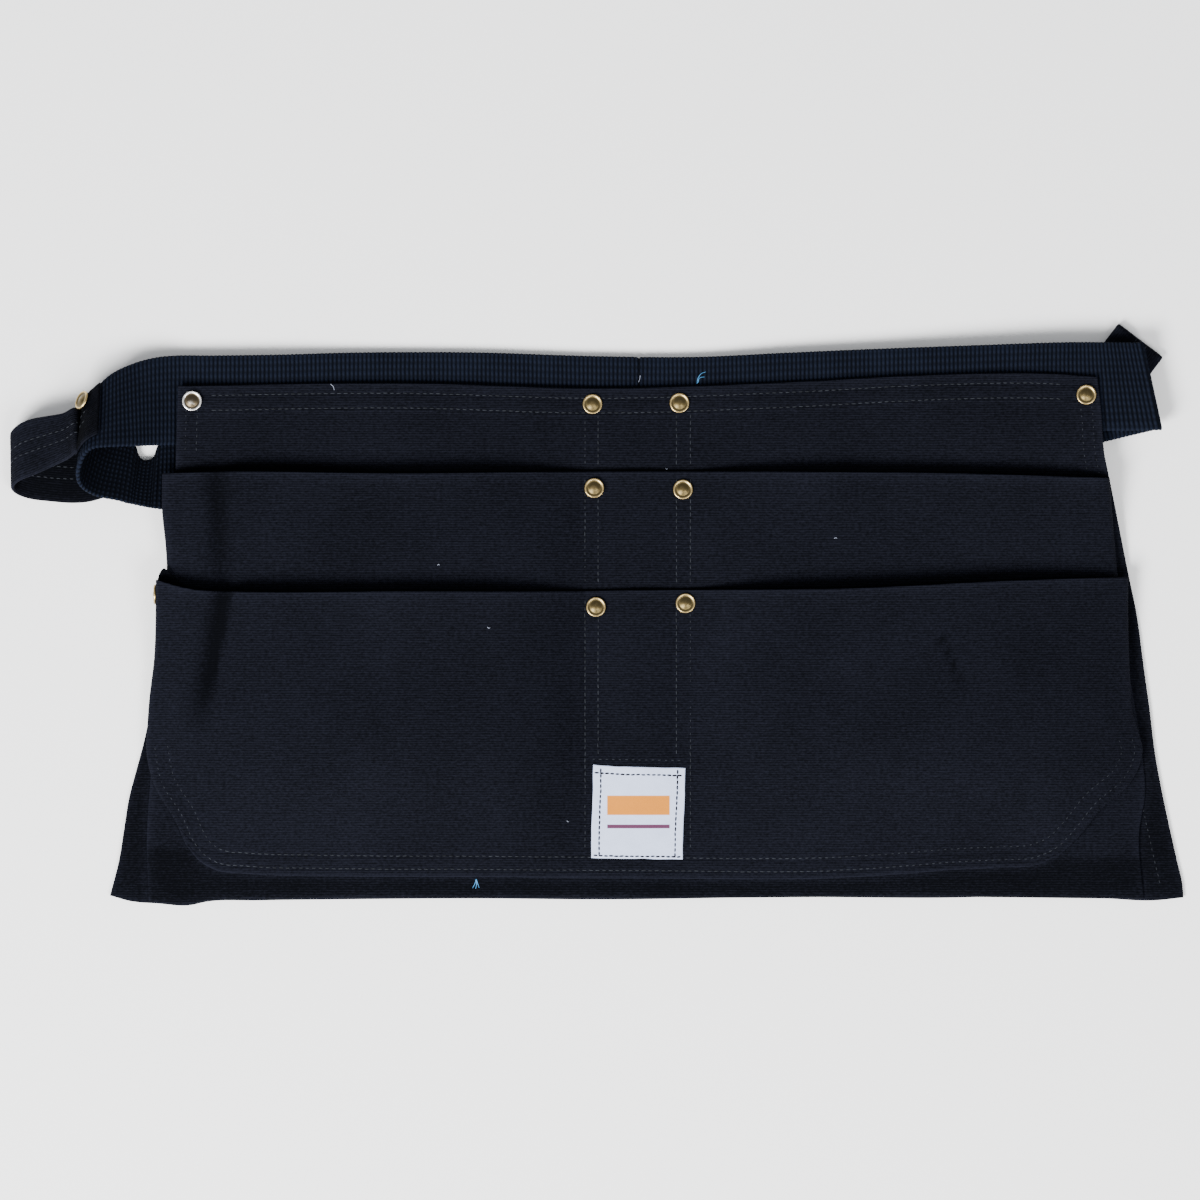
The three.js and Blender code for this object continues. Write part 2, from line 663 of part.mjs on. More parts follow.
// Front run of the belt at a place across the apron: the height of its middle
function frontHeight(x) {
  const front = belt.slice(BELT_STEPS * (FRONT_START - 1), BELT_STEPS * (TURN_START + 1));
  const next = front.findIndex((station) => station.upper.x <= x);
  const [a, b] = [front[next - 1], front[next]];
  const share = (a.upper.x - x) / (a.upper.x - b.upper.x);
  return a.upper.z + share * (b.upper.z - a.upper.z);
}

// Heights of the three cloth layers

const supportPoints = supports();
const burrSupports = RIVETS.filter((rivet) => rivet.pockets > 0).map((rivet) => {
  const reach = BELT_WIDTH / 4 + 2 * BURR_RADIUS;
  const under = supportPoints
    .filter((point) => Math.hypot(point.x - rivet.x, point.y - rivet.y) < reach)
    .reduce((highest, point) => Math.max(highest, point.z), 0);
  return new THREE.Vector3(rivet.x, rivet.y, under + BURR_ROOM + DRAPE_GAP);
});
const panelUnder = drape([...supportPoints, ...burrSupports]);
const panelOver = raised(panelUnder, CLOTH);

// How far a pocket stands off the layer behind it. Its left side lies flat, or opens on a side wall
function pocketLoft(x, y, seam, height, loft, openSide) {
  const up = (y - seam) / height;
  const rise = smooth(0, LOFT_RISE, up);
  const open = openSide ? smooth(...SIDE_RISE, up) : 0;
  if (x <= SIDE_LEFT) return loft * open;
  if (x >= SIDE_RIGHT) return 0;
  if (x > SLOT_LEFT && x < SLOT_RIGHT) {
    const share = (x - SLOT_LEFT) / (SLOT_RIGHT - SLOT_LEFT);
    return CENTRE_SLOT_LOFT * rise * Math.sin(Math.PI * share);
  }
  const onLeft = x <= SLOT_LEFT;
  const share = onLeft
    ? (x - SIDE_LEFT) / (SLOT_LEFT - SIDE_LEFT)
    : (SIDE_RIGHT - x) / (SIDE_RIGHT - SLOT_RIGHT);
  const crown = 1 - (1 - 2 * share) ** 4;
  const held = onLeft && share < 0.5 ? open : 0;
  return loft * rise * Math.max(crown, held);
}

const upperUnder = overLattice((x, y, row, column) => panelOver[row][column] + PLY_GAP
  + pocketLoft(x, y, UPPER_SEAM, UPPER_HEIGHT, UPPER_LOFT, false));
const upperOver = raised(upperUnder, CLOTH);
const lowerUnder = overLattice((x, y, row, column) => upperOver[row][column] + PLY_GAP
  + pocketLoft(x, y, LOWER_SEAM, LOWER_HEIGHT, LOWER_LOFT, true));
const lowerOver = raised(lowerUnder, CLOTH);

// Outlines

const HEM_STEPS = 18;
const SIDE_STEPS = 14;

function smoothEdge(points, count) {
  return new THREE.SplineCurve(points).getPoints(count);
}

function panelOutline() {
  const side = (column, sign, flare) => PANEL_SIDES.map((row) => new THREE.Vector2(
    sign * (HALF_TOP + row[column] * flare),
    row.up * APRON_HEIGHT,
  ));
  const waist = WAIST_EDGE.map((row) => new THREE.Vector2(
    row.across * HALF_TOP,
    APRON_HEIGHT * (1 + row.rise),
  ));
  const hem = HEM_EDGE.map((row) => new THREE.Vector2(
    row.across < 0 ? row.across * (HALF_TOP + LEFT_FLARE) : row.across * (HALF_TOP + RIGHT_FLARE),
    row.rise * APRON_HEIGHT,
  ));
  const left = side('left', -1, LEFT_FLARE);
  const right = side('right', 1, RIGHT_FLARE);
  left[0].y = hem[0].y;
  right[0].y = hem[hem.length - 1].y;
  left[left.length - 1].y = waist[0].y;
  right[right.length - 1].y = waist[waist.length - 1].y;
  return [
    ...smoothEdge(hem, HEM_STEPS).slice(0, -1),
    ...smoothEdge(right, SIDE_STEPS).slice(0, -1),
    ...smoothEdge(waist, HEM_STEPS).reverse().slice(0, -1),
    ...smoothEdge(left, SIDE_STEPS).reverse().slice(0, -1),
  ];
}

function pocketOutline(tables, width, height, seam, steps, shift = 0) {
  const edges = tables.map((table) => table.map((row) => new THREE.Vector2(
    POCKET_SHIFT + row.across * width / 2 + shift,
    seam + row.up * height,
  )));
  const smoothed = edges.map((edge, index) => smoothEdge(edge, steps[index]).slice(0, -1));
  const last = edges[edges.length - 1];
  return [...smoothed.flat(), last[last.length - 1]].reverse();
}

const UPPER_TABLES = [UPPER_LEFT, UPPER_MOUTH, UPPER_RIGHT];
const UPPER_STEPS = [12, 14, 14];
const LOWER_TABLES = [LOWER_LEFT, LOWER_MOUTH, LOWER_RIGHT];
const LOWER_STEPS = [18, 16, 20];
const upperOutline = pocketOutline(UPPER_TABLES, UPPER_WIDTH, UPPER_HEIGHT, UPPER_SEAM, UPPER_STEPS);
const lowerOutline = pocketOutline(LOWER_TABLES, LOWER_WIDTH, LOWER_HEIGHT, LOWER_SEAM, LOWER_STEPS);

// Turned solids

function turned(profile, sides) {
  const geometry = new THREE.LatheGeometry(profile.map(([r, z]) => new THREE.Vector2(r, z)), sides);
  geometry.rotateX(Math.PI / 2);
  return geometry;
}

// Rivet cap: out is a share of its radius, up a share of its height. A raised rim stands round a low dome
const CAP_PROFILE = [
  { out: 0.94, up: 0 },
  { out: 1, up: 0.3 },
  { out: 0.8, up: 0.85 },
  { out: 0.6, up: 0.6 },
  { out: 0.35, up: 0.95 },
  { out: 0, up: 1 },
];

// A rivet with its seat at zero: cap above, shank through the layers, burr below
function rivetGeometry(grip) {
  return turned([
    [0, -grip - BURR_THICKNESS],
    [BURR_RADIUS, -grip - BURR_THICKNESS],
    [BURR_RADIUS, -grip],
    [SHANK_RADIUS, -grip],
    [SHANK_RADIUS, 0],
    ...CAP_PROFILE.map(({ out, up }) => [out * CAP_RADIUS, up * CAP_HEIGHT]),
  ], RIVET_SIDES);
}

function holeTool(length) {
  const radius = SHANK_RADIUS + HOLE_GAP;
  return turned([[0, -length], [radius, -length], [radius, length], [0, length]], RIVET_SIDES);
}

function footprint(x, y, radius) {
  const points = [[x, y]];
  for (let turn = 0; turn < RIVET_SIDES; turn += 1) {
    const angle = turn * 2 * Math.PI / RIVET_SIDES;
    points.push([x + radius * Math.cos(angle), y + radius * Math.sin(angle)]);
  }
  return points;
}

// Assembly

let panel = layer(panelUnder, panelOver, panelOutline());
let upperPocket = layer(upperUnder, upperOver, upperOutline);
let lowerPocket = layer(lowerUnder, lowerOver, lowerOutline);
let beltSolid = toManifold(strip(belt, BELT_THICKNESS, 2));
const leftStrap = refine(leftLoopStations(), 2);
let leftLoop = toManifold(strip(leftStrap, STRAP_THICKNESS, 2));
const rightLoop = strip(rightLoopStations(), STRAP_THICKNESS, 1);

// The lower pocket's left side stands open at its mouth, on a side wall down to the pocket behind it
const wallFill = layer(raised(upperOver, PLY_GAP), raised(lowerUnder, CLOTH / 2), lowerOutline);
const insideWall = prism(
  pocketOutline(LOWER_TABLES, LOWER_WIDTH, LOWER_HEIGHT, LOWER_SEAM, LOWER_STEPS, CLOTH),
  CUT_LOW,
  CUT_HIGH,
);
const wallFoot = LOWER_SEAM + SIDE_WALL_FOOT * LOWER_HEIGHT;
const wallBand = prism([
  new THREE.Vector2(LEFT_END, wallFoot),
  new THREE.Vector2(SIDE_LEFT + SIDE_WALL_DEPTH, wallFoot),
  new THREE.Vector2(SIDE_LEFT + SIDE_WALL_DEPTH, APRON_HEIGHT),
  new THREE.Vector2(LEFT_END, APRON_HEIGHT),
], CUT_LOW, CUT_HIGH);
lowerPocket = lowerPocket.add(wallFill.subtract(insideWall).intersect(wallBand));

for (const { name, x, y, pockets } of RIVETS) {
  const top = [panelOver, upperOver, lowerOver][pockets];
  const seat = Math.max(...footprint(x, y, CAP_RADIUS).map(([px, py]) => heightAt(top, px, py))) + SEAT_GAP;
  const back = footprint(x, y, BURR_RADIUS);
  const under = pockets === 0
    ? Math.min(...back.map(([px]) => frontHeight(px))) - BELT_THICKNESS / 2
    : Math.min(...back.map(([px, py]) => heightAt(panelUnder, px, py)));
  const tool = toManifold(holeTool(CUT_HIGH)).translate([x, y, 0]);
  panel = panel.subtract(tool);
  if (pockets === 0) beltSolid = beltSolid.subtract(tool);
  if (pockets > 0) upperPocket = upperPocket.subtract(tool);
  if (pockets > 1) lowerPocket = lowerPocket.subtract(tool);
  addMesh(name, rivetGeometry(seat - under + SEAT_GAP), BRASS).position.set(x, y, seat);
}

// Rivet through the side wall of the lower pocket, lying on its side
const sideRivetY = LAYER_TOPS[2] - SIDE_RIVET_DROP;
const wallX = POCKET_SHIFT + LOWER_MOUTH[0].across * LOWER_WIDTH / 2;
const wallLow = heightAt(upperOver, wallX, sideRivetY) + PLY_GAP;
const wallHigh = heightAt(lowerUnder, wallX, sideRivetY);
const sideRivetZ = (wallLow + wallHigh) / 2;
const sideTool = toManifold(holeTool(3 * CLOTH)).rotate([0, -90, 0]);
lowerPocket = lowerPocket.subtract(sideTool.translate([wallX, sideRivetY, sideRivetZ]));
const sideRivet = addMesh('rivet_side_left', rivetGeometry(CLOTH + 4 * SEAT_GAP), BRASS);
sideRivet.rotation.y = -Math.PI / 2;
sideRivet.position.set(wallX - 2 * SEAT_GAP, sideRivetY, sideRivetZ);

addMesh('back_panel', toGeometry(panel), DUCK);
addMesh('upper_pocket', toGeometry(upperPocket), DUCK);
addMesh('lower_pocket', toGeometry(lowerPocket), DUCK);

// Label: its corners as shares of its side from its middle
const LABEL_CORNERS = [
  { across: -0.5, up: 0.5 },
  { across: -0.49, up: -0.51 },
  { across: 0.5, up: -0.5 },
  { across: 0.505, up: 0.5 },
];
const labelOutline = LABEL_CORNERS.map(({ across, up }) => new THREE.Vector2(
  CENTRE_SLOT_SHIFT + across * LABEL_SIDE,
  LOWER_SEAM + LABEL_RISE + (0.5 + up) * LABEL_SIDE,
));
const labelUnder = raised(lowerOver, SEAT_GAP);
const labelOver = raised(labelUnder, LABEL_THICKNESS);
addMesh('label_patch', toGeometry(layer(labelUnder, labelOver, labelOutline)), WOVEN);

// Buckle: a plain flat block with cut corners and a socket for each end of the belt
const halfLength = BUCKLE_LENGTH / 2;
const halfWidth = BUCKLE_WIDTH / 2;
const buckleOutline = [
  [halfLength, halfWidth - BUCKLE_CORNER],
  [halfLength - BUCKLE_CORNER, halfWidth],
  [BUCKLE_CORNER - halfLength, halfWidth],
  [-halfLength, halfWidth - BUCKLE_CORNER],
  [-halfLength, BUCKLE_CORNER - halfWidth],
  [BUCKLE_CORNER - halfLength, -halfWidth],
  [halfLength - BUCKLE_CORNER, -halfWidth],
  [halfLength, BUCKLE_CORNER - halfWidth],
].map(([x, y]) => new THREE.Vector2(BUCKLE.x + x, BUCKLE.y + y));
let buckle = prism(buckleOutline, 0, BUCKLE_THICKNESS);
const socketWidth = BELT_WIDTH + 2 * SEAT_GAP;
const socketHeight = BELT_THICKNESS + 2 * SEAT_GAP;
for (const side of [-1, 1]) {
  const socket = new THREE.BoxGeometry(2 * SOCKET_DEPTH, socketWidth, socketHeight);
  socket.translate(BUCKLE.x + side * halfLength, BUCKLE.y, BUCKLE.z);
  buckle = buckle.subtract(toManifold(socket));
}
addMesh('belt_buckle', toGeometry(buckle), MOULDED);

// Rivet that holds the left hammer loop's strap to the belt, standing off the curved strap and belt
const STRAP_RIVET_STATION = 3;
const CURVE_ROOM = 1.5;
const strapNormal = stationNormal(leftStrap, STRAP_RIVET_STATION).multiplyScalar(-1);
const strapOff = -STRAP_THICKNESS / 2 - CURVE_ROOM;
const strapPoint = stripPoint(leftStrap, STRAP_RIVET_STATION, STRAP_RIVET_UP, strapOff);
const loopGrip = STRAP_THICKNESS + PLY_GAP + BELT_THICKNESS + 2 * CURVE_ROOM + SEAT_GAP;
const loopRivet = addMesh('rivet_hammer_loop', rivetGeometry(loopGrip), BRASS);
loopRivet.position.copy(strapPoint);
loopRivet.quaternion.setFromUnitVectors(new THREE.Vector3(0, 0, 1), strapNormal);
const loopTool = holeTool(2 * loopGrip);
loopTool.applyQuaternion(loopRivet.quaternion);
loopTool.translate(strapPoint.x, strapPoint.y, strapPoint.z);
const loopHole = toManifold(loopTool);
beltSolid = beltSolid.subtract(loopHole);
leftLoop = leftLoop.subtract(loopHole);

addMesh('waist_belt', toGeometry(beltSolid), WEBBING);
addMesh('hammer_loop_left', toGeometry(leftLoop), DUCK);
addMesh('hammer_loop_right', rightLoop, DUCK);

// The origin is on the surface the apron lies on, under the middle of its outline
group.updateMatrixWorld(true);
const box = new THREE.Box3().setFromObject(group, true);
const middle = box.getCenter(new THREE.Vector3());
group.position.set(-middle.x, -middle.y, -box.min.z);

export default group;
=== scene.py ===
"""Carpenter nail apron: duck panel and pockets, webbing belt, hammer loops, rivets, label and stitching.

Metres. X runs along the belt, Y from the hem to the belt, Z up from the surface the apron lies on.
"""
import math

import bpy
import numpy as np
from mathutils import Matrix, Vector, noise
from mathutils.bvhtree import BVHTree


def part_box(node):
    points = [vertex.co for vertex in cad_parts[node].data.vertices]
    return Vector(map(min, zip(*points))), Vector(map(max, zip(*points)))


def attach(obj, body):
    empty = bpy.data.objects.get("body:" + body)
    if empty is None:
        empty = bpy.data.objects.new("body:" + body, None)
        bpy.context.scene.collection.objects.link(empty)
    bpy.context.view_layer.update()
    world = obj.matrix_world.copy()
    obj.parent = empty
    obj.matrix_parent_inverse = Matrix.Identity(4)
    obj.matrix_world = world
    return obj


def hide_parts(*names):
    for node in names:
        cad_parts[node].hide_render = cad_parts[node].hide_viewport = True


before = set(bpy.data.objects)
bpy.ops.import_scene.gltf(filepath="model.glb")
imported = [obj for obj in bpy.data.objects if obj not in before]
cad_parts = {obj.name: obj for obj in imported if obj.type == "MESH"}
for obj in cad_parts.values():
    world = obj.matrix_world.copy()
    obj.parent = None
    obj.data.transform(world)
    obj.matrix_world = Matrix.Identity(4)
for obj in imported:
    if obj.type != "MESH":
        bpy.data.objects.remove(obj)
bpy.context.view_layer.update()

bl_info = {
    "name": "Carpenter nail apron",
    "version": (1, 0, 0),
    "blender": (4, 5, 0),
    "location": "3D View > Sidebar > Nail apron",
    "description": "A duck nail apron with two tiers of pockets on a webbing belt",
    "category": "Mesh",
}

MM = 0.001


def table(columns, *rows):
    """The rows of a table, each with the columns' names."""
    return [dict(zip(columns.split(), row)) for row in rows]


# Outlines of the cloth pieces, in millimetres, each side from left to right or from bottom to top

PANEL_SIDES = {
    "bottom": [
        (-244.1, -140.8), (-233.1, -143.8), (-220.6, -144.8), (-203.1, -145.6), (-197.6, -144.3),
        (-169.1, -143.3), (-131.1, -142.8), (-58.6, -142.3), (-2.1, -142.8), (101.4, -141.6),
        (170.4, -142.0), (216.4, -141.3), (254.4, -142.3), (278.9, -143.3), (293.6, -141.8),
    ],
    "top": [
        (-209.6, 114.2), (-98.6, 115.7), (3.4, 113.2), (101.4, 116.4), (166.4, 119.7), (228.9, 120.2),
        (249.9, 118.7),
    ],
    "left": [
        (-244.1, -140.8), (-239.6, -123.3), (-237.1, -107.8), (-234.4, -91.3), (-231.1, -78.8),
        (-227.1, -63.8), (-218.3, 0), (-212.0, 48), (-210.6, 80.7), (-209.6, 114.2),
    ],
    "right": [
        (293.6, -141.8), (293.2, -135.8), (290.4, -123.3), (283.9, -93.8), (279.4, -69.8), (276.9, -49.3),
        (273.4, -23.8), (270.6, -2.3), (265.4, 23.2), (260.9, 45.2), (256.4, 66.7), (253.4, 80.7),
        (251.9, 101.2), (249.9, 118.7),
    ],
}
UPPER_SIDES = {
    "bottom": [
        (-224.6, -143.9), (-203.1, -144.9), (-197.6, -143.7), (-169.1, -142.6), (-60, -141.8), (30, -142.0),
        (160, -141.3), (273.6, -142.4),
    ],
    "top": [
        (-217.4, 70.4), (-196.6, 71.2), (-98.6, 70.5), (1.4, 71.5), (101.4, 71.3), (177.9, 70.5),
        (255.9, 68.2),
    ],
    "left": [
        (-224.6, -143.9), (-225.6, -112.8), (-223.6, -80.8), (-219.6, -20), (-215.1, 24.7), (-215.6, 33.7),
        (-217.4, 52.7), (-217.4, 70.4),
    ],
    "right": [
        (273.6, -142.4), (271.4, -108.8), (274.4, -88.8), (272.9, -70.8), (266.4, -30), (260.4, 18.2),
        (259.4, 29.7), (257.6, 48.7), (255.9, 68.2),
    ],
}
LOWER_SIDES = {
    "bottom": [
        (-205.6, -115.3), (-199.6, -123.0), (-191.6, -127.8), (-176, -129.9), (-140, -131.0), (-60, -131.6),
        (23.4, -132.2), (121.4, -132.0), (160, -129.4), (177.9, -127.9), (201.4, -126.8), (220.4, -125.3),
        (231.4, -120.3),
    ],
    "top": [
        (-220.3, 17.4), (-209.6, 14.2), (-199.1, 12.2), (-183.6, 11.6), (-98.6, 11.6), (-9.1, 11.7),
        (16.4, 12.1), (101.4, 12.7), (120.4, 12.9), (152.4, 14.2), (190.9, 16.2), (228.9, 17.7),
        (265.4, 18.7),
    ],
    "left": [
        (-205.6, -115.3), (-210.6, -103.8), (-221.6, -85.3), (-225.6, -66.0), (-225.3, -60), (-224.1, -42.8),
        (-221.6, -22.8), (-220.4, 10.7), (-220.3, 17.4),
    ],
    "right": [
        (231.4, -120.3), (241.9, -110), (251.4, -97.8), (266.9, -83.8), (271.9, -73.8), (272.9, -67.8),
        (270.9, -59.3), (267.9, -49.3), (266.4, -30.3), (265.4, 1.7), (265.4, 18.7),
    ],
}
# The folded side of the lower pocket, which shows behind its mouth at the left
SIDE_FOLD_SIDES = {
    "bottom": [(-220.0, 0.0), (-212, 0.0), (-204, 0.0), (-196, 0.0)],
    "top": [
        (-219.8, 17.4), (-218.5, 21.0), (-216.6, 23.2), (-214.9, 22.2), (-211.5, 18.4), (-206, 15.0),
        (-200.5, 13.2), (-196, 12.4),
    ],
    "left": [(-220.0, 0.0), (-220.0, 6.0), (-219.9, 12.0), (-219.8, 17.4)],
    "right": [(-196, 0.0), (-196, 6.0), (-196, 12.4)],
}
LABEL_SIDES = {
    "bottom": [(-3.0, -121.8), (10, -122.2), (26, -122.3), (42.8, -122.6)],
    "top": [(-2.1, -75.2), (12, -76.1), (30, -76.4), (44.1, -76.9)],
    "left": [(-3.0, -121.8), (-2.9, -106), (-2.3, -90), (-2.1, -75.2)],
    "right": [(42.8, -122.6), (43.0, -108), (43.8, -92), (44.1, -76.9)],
}

# Soft folds and dents: a valley along a line, its depth, its width on each side of the line, millimetres, and
# how much painted shade darkens it
UPPER_FOLDS = table(
    "start end depth left right shade",
    ((-190.5, 76), (-188.5, 8), 2.0, 4, 6, 0.8),
    ((-120, 70), (-132, 10), 0.6, 22, 26, 0.1),
    ((150, 74), (166, 12), 0.7, 25, 20, 0.1),
)
LOWER_FOLDS = table(
    "start end depth left right shade",
    ((-183.4, 15), (-198, -58), 3.2, 6, 2.2, 1.5),
    ((171.5, -11), (184.4, -40), 0.7, 1.4, 0.9, 0.9),
    ((-90, -20), (-60, -110), 0.6, 30, 24, 0.1),
    ((120, -30), (90, -115), 0.6, 26, 30, 0.1),
)

# Belt, as shares: along of the panel's half width, rise of the belt's width, lift of the right-hand stack
FRONT_RUN = table(
    "along rise lift",
    (0.93, 0.145, 1), (0.72, 0.11, 0.8), (0.5, 0.07, 0.5), (0.32, 0.03, 0.36),
    (0.12, -0.015, 0.08), (-0.1, -0.005, 0), (-0.35, 0.035, 0), (-0.6, 0.035, 0.1),
    (-0.78, 0.01, 0.35), (-0.93, 0, 0.42),
)
REAR_RUN = table(
    "along lift",
    (0.1, 1), (0.22, 1), (0.33, 0.4), (0.45, 0), (0.6, 0), (0.75, 0), (0.84, 0),
)
# The soft turn at the left end, for the upper and the lower edge: out is a share of the turn's reach, drop of
# the belt's width, lift of the turn's height
TURN = table(
    "out drop lift",
    ((0, 0), (0, 1), (0.2, 0.23)),
    ((0.27, 0.26), (0.03, 1.01), (0.29, 0.42)),
    ((0.52, 0.48), (0.11, 1.02), (0.4, 0.65)),
    ((0.72, 0.72), (0.22, 1.03), (0.48, 0.87)),
    ((0.86, 0.88), (0.37, 1.05), (0.48, 1)),
    ((0.94, 0.98), (0.51, 1.13), (0.37, 1)),
    ((0.96, 1.05), (0.64, 1.32), (0.23, 0.87)),
    ((0.88, 1.02), (0.78, 1.47), (0.14, 0.71)),
    ((0.72, 0.87), (0.9, 1.57), (0.08, 0.56)),
    ((0.55, 0.64), (0.95, 1.62), (0.06, 0.47)),
    ((0.47, 0.54), (0.99, 1.65), (0.06, 0.45)),
    ((0.42, 0.48), (1.13, 1.66), (0.06, 0.44)),
    ((0.34, 0.39), (1.165, 1.68), (0.06, 0.43)),
    ((0.26, 0.3), (1.12, 1.7), (0.06, 0.38)),
    ((0.21, 0.24), (0.98, 1.71), (0.06, 0.35)),
    ((0.1, 0.1), (0.94, 1.73), (0.06, 0.27)),
    ((-0.21, -0.24), (0.91, 1.79), (0.06, 0.11)),
)
LEFT_REAR_RUN = [0.82, 0.62, 0.42]
# Left hammer loop past its seat on the belt, for both edges: shares of its reach, of the strap's width and of
# the turn's height
LEFT_LOOP = table(
    "out drop lift",
    ((0.12, 0.08), (0.3, 1.1), (0.53, 0.88)),
    ((0.28, 0.2), (0.4, 1.22), (0.48, 0.68)),
    ((0.5, 0.4), (0.45, 1.34), (0.45, 0.52)),
    ((0.72, 0.68), (0.5, 1.5), (0.42, 0.43)),
    ((0.88, 0.88), (0.58, 1.6), (0.37, 0.38)),
    ((0.99, 0.98), (0.7, 1.7), (0.28, 0.28)),
    ((1, 0.99), (0.8, 1.78), (0.17, 0.17)),
    ((0.93, 0.92), (0.88, 1.86), (0.07, 0.07)),
    ((0.75, 0.75), (0.94, 1.93), (0.04, 0.04)),
    ((0.5, 0.5), (0.98, 1.97), (0.04, 0.04)),
    ((0.2, 0.2), (1, 2), (0.04, 0.04)),
    ((-0.05, -0.05), (1, 1.98), (0.04, 0.04)),
    ((-0.28, -0.28), (0.96, 1.9), (0.04, 0.04)),
)

# Belt, buckle and strap sizes, millimetres
HALF_TOP = 230
APRON_HEIGHT = 256
BELT_WIDTH = 45
BELT_THICKNESS = 2.4
BELT_RISE = 15.5
REAR_SAG = 53.5
RIGHT_REACH = 25.5
CREASE_LEAN = math.radians(11.4)
TURN_REACH = 47
TURN_HEIGHT = 30
BUCKLE_LENGTH = 60
BUCKLE_THICKNESS = 6
BUCKLE_OFFSET = 90
BUCKLE_CORNER = 6
BUCKLE_BORDER = 7
BUCKLE_RECESS = 0.8
BUCKLE_BEVEL = 0.5
SOCKET_DEPTH = 14
STRAP_WIDTH = 28
STRAP_THICKNESS = 2
LEFT_LOOP_REACH = 36
RIGHT_LOOP_LENGTH = 52
RIGHT_LOOP_TURN = math.radians(53)
PLY_GAP = 0.4
SEAT_GAP = 0.3
BURR_ROOM = 1.8

FRONT_CENTRE = APRON_HEIGHT + BELT_RISE - BELT_WIDTH / 2
LOOP_STACK = 2 * STRAP_THICKNESS + 2 * PLY_GAP
FLOOR_LAYER = BELT_THICKNESS / 2
FRONT_LOW = FLOOR_LAYER + BURR_ROOM
REAR_RIGHT_HIGH = LOOP_STACK + FLOOR_LAYER
FRONT_RIGHT_HIGH = REAR_RIGHT_HIGH + BELT_THICKNESS + BURR_ROOM
CREASE = np.array([HALF_TOP + RIGHT_REACH, FRONT_CENTRE + 0.16 * BELT_WIDTH])
BUCKLE = np.array([-BUCKLE_OFFSET, FRONT_CENTRE - REAR_SAG, BUCKLE_THICKNESS / 2])

# Rivets, millimetres: the cap's turned profile from its middle outwards, with its radius as a share of the
# cap's and how dark the recess is there
CAP_PROFILE = table(
    "radius height recess",
    (0.0, 1.62, 0.7), (0.14, 1.56, 0.7), (0.3, 1.4, 0.75), (0.46, 1.1, 0.9), (0.58, 0.8, 1.0),
    (0.68, 0.68, 1.0), (0.76, 0.8, 0.8), (0.82, 1.05, 0.25), (0.88, 1.2, 0.0), (0.94, 1.12, 0.0),
    (0.986, 0.85, 0.05), (1.0, 0.5, 0.2), (0.98, 0.15, 0.6), (0.94, 0.0, 1.0),
)
SOLID_CAP_EDGE = 4.9
SOLID_CAP_HEIGHT = 1.7
SHANK_RADIUS = 1.6
BURR_RADIUS = 3.4
BURR_THICKNESS = 0.8
WORN_RIVET = "rivet_corner_left"

# Rows of stitches, millimetres: the seams' places along X and each row's distance from its edge
SEAM_LINES = (-6.1, 0.4, 39.6, 46.6)
WAIST_ROWS = (5.0, 12.4)
SIDE_ROWS = (4.5, 10)
HEM_ROW = 11
BOTTOM_ROWS = (4.0, 10.6)
LABEL_ROW = 3.9
LABEL_BOTTOM_ROW = 1.2
LABEL_STITCH = {"pitch": 2.6 * MM, "finish": "dark_thread", "thickness": 0.9 * MM, "length": 1.0}
# Where along Y the rows run: at the panel's sides, its right hem, the seams and across above the label
SIDE_ROWS_FOOT = 66
HEM_ROW_TOP = -60
PANEL_SEAM = (74, 90, 111)
UPPER_SEAM = (15, 40, 69)
LOWER_OUTER_SEAM = (-118, -30, 9)
LOWER_INNER_SEAM = (-71, -30, 9)
CROSS_SEAM = [(-4, -72.4), (20, -72.8), (45, -73)]
# The rows on a strap as shares of its width, and how many of its stations a row leaves free at either end
STRAP_ROWS = (0.43, 0.64)
ROW_END = 6
# How deep the rows lie and dip, how the hems rise and where they end, and the play between two plies
SUNK = -0.12
HEM_SUNK = 0.2
ROW_DIP = 0.12
HEM_RISE = 0.45
WAIST_HEM = (13.6, 14.8)
SIDE_HEM = (11, 12.4)
PLY_CLEARANCE = 0.05

# Pocket sides, millimetres: how wide the cloth turns down at a side, over which Y the lower pocket's left
# side gets steeper and by how much, and how far and how wide the upper pocket's bottom fold drops
SIDE_WALL = 4
STEEP_WALL = (-60, 0)
STEEPER = 2.8
FOLD_DROP = 0.7
FOLD_ROUND = 2.5
# The lower pocket's folded side: its ply, its mesh step, how high it lies, and how far it rises over which Y
SIDE_PLY = 0.8
SIDE_STEP = 1.5
SIDE_LIFT = 1.4
SIDE_RISE = 1.6
SIDE_RISE_SPAN = (10, 24)

# Folded edges: the round as a share of the thickness, the least share of it left at the very edge, and how
# far the cloth is rubbed, millimetres
EDGE_ROUND = 0.7
EDGE_LEAST = 0.12
EDGE_REACH = 1.6

# Close mesh lines, millimetres from each side: at the rows, the hems and the mouth of the pocket above
PANEL_MARKS = {
    "top": (*WAIST_ROWS, 14.5, 43, 45.6, 48.2), "left": (6, 9), "right": SIDE_ROWS, "middle": SEAM_LINES}
UPPER_MARKS = {"top": (49.5, 52.1, 54.7, 57.3, 59.9), "middle": SEAM_LINES}
LOWER_MARKS = {"middle": SEAM_LINES, "bottom": BOTTOM_ROWS, "left": BOTTOM_ROWS, "right": BOTTOM_ROWS}

# A pocket's top over the layer beneath, millimetres: the least lift, where the sewn cloth starts to be free
# and over how much rise it gets free
LEAST_LIFT = 1.35
FREE_LIFT = 1.7
FREE_RISE = 3
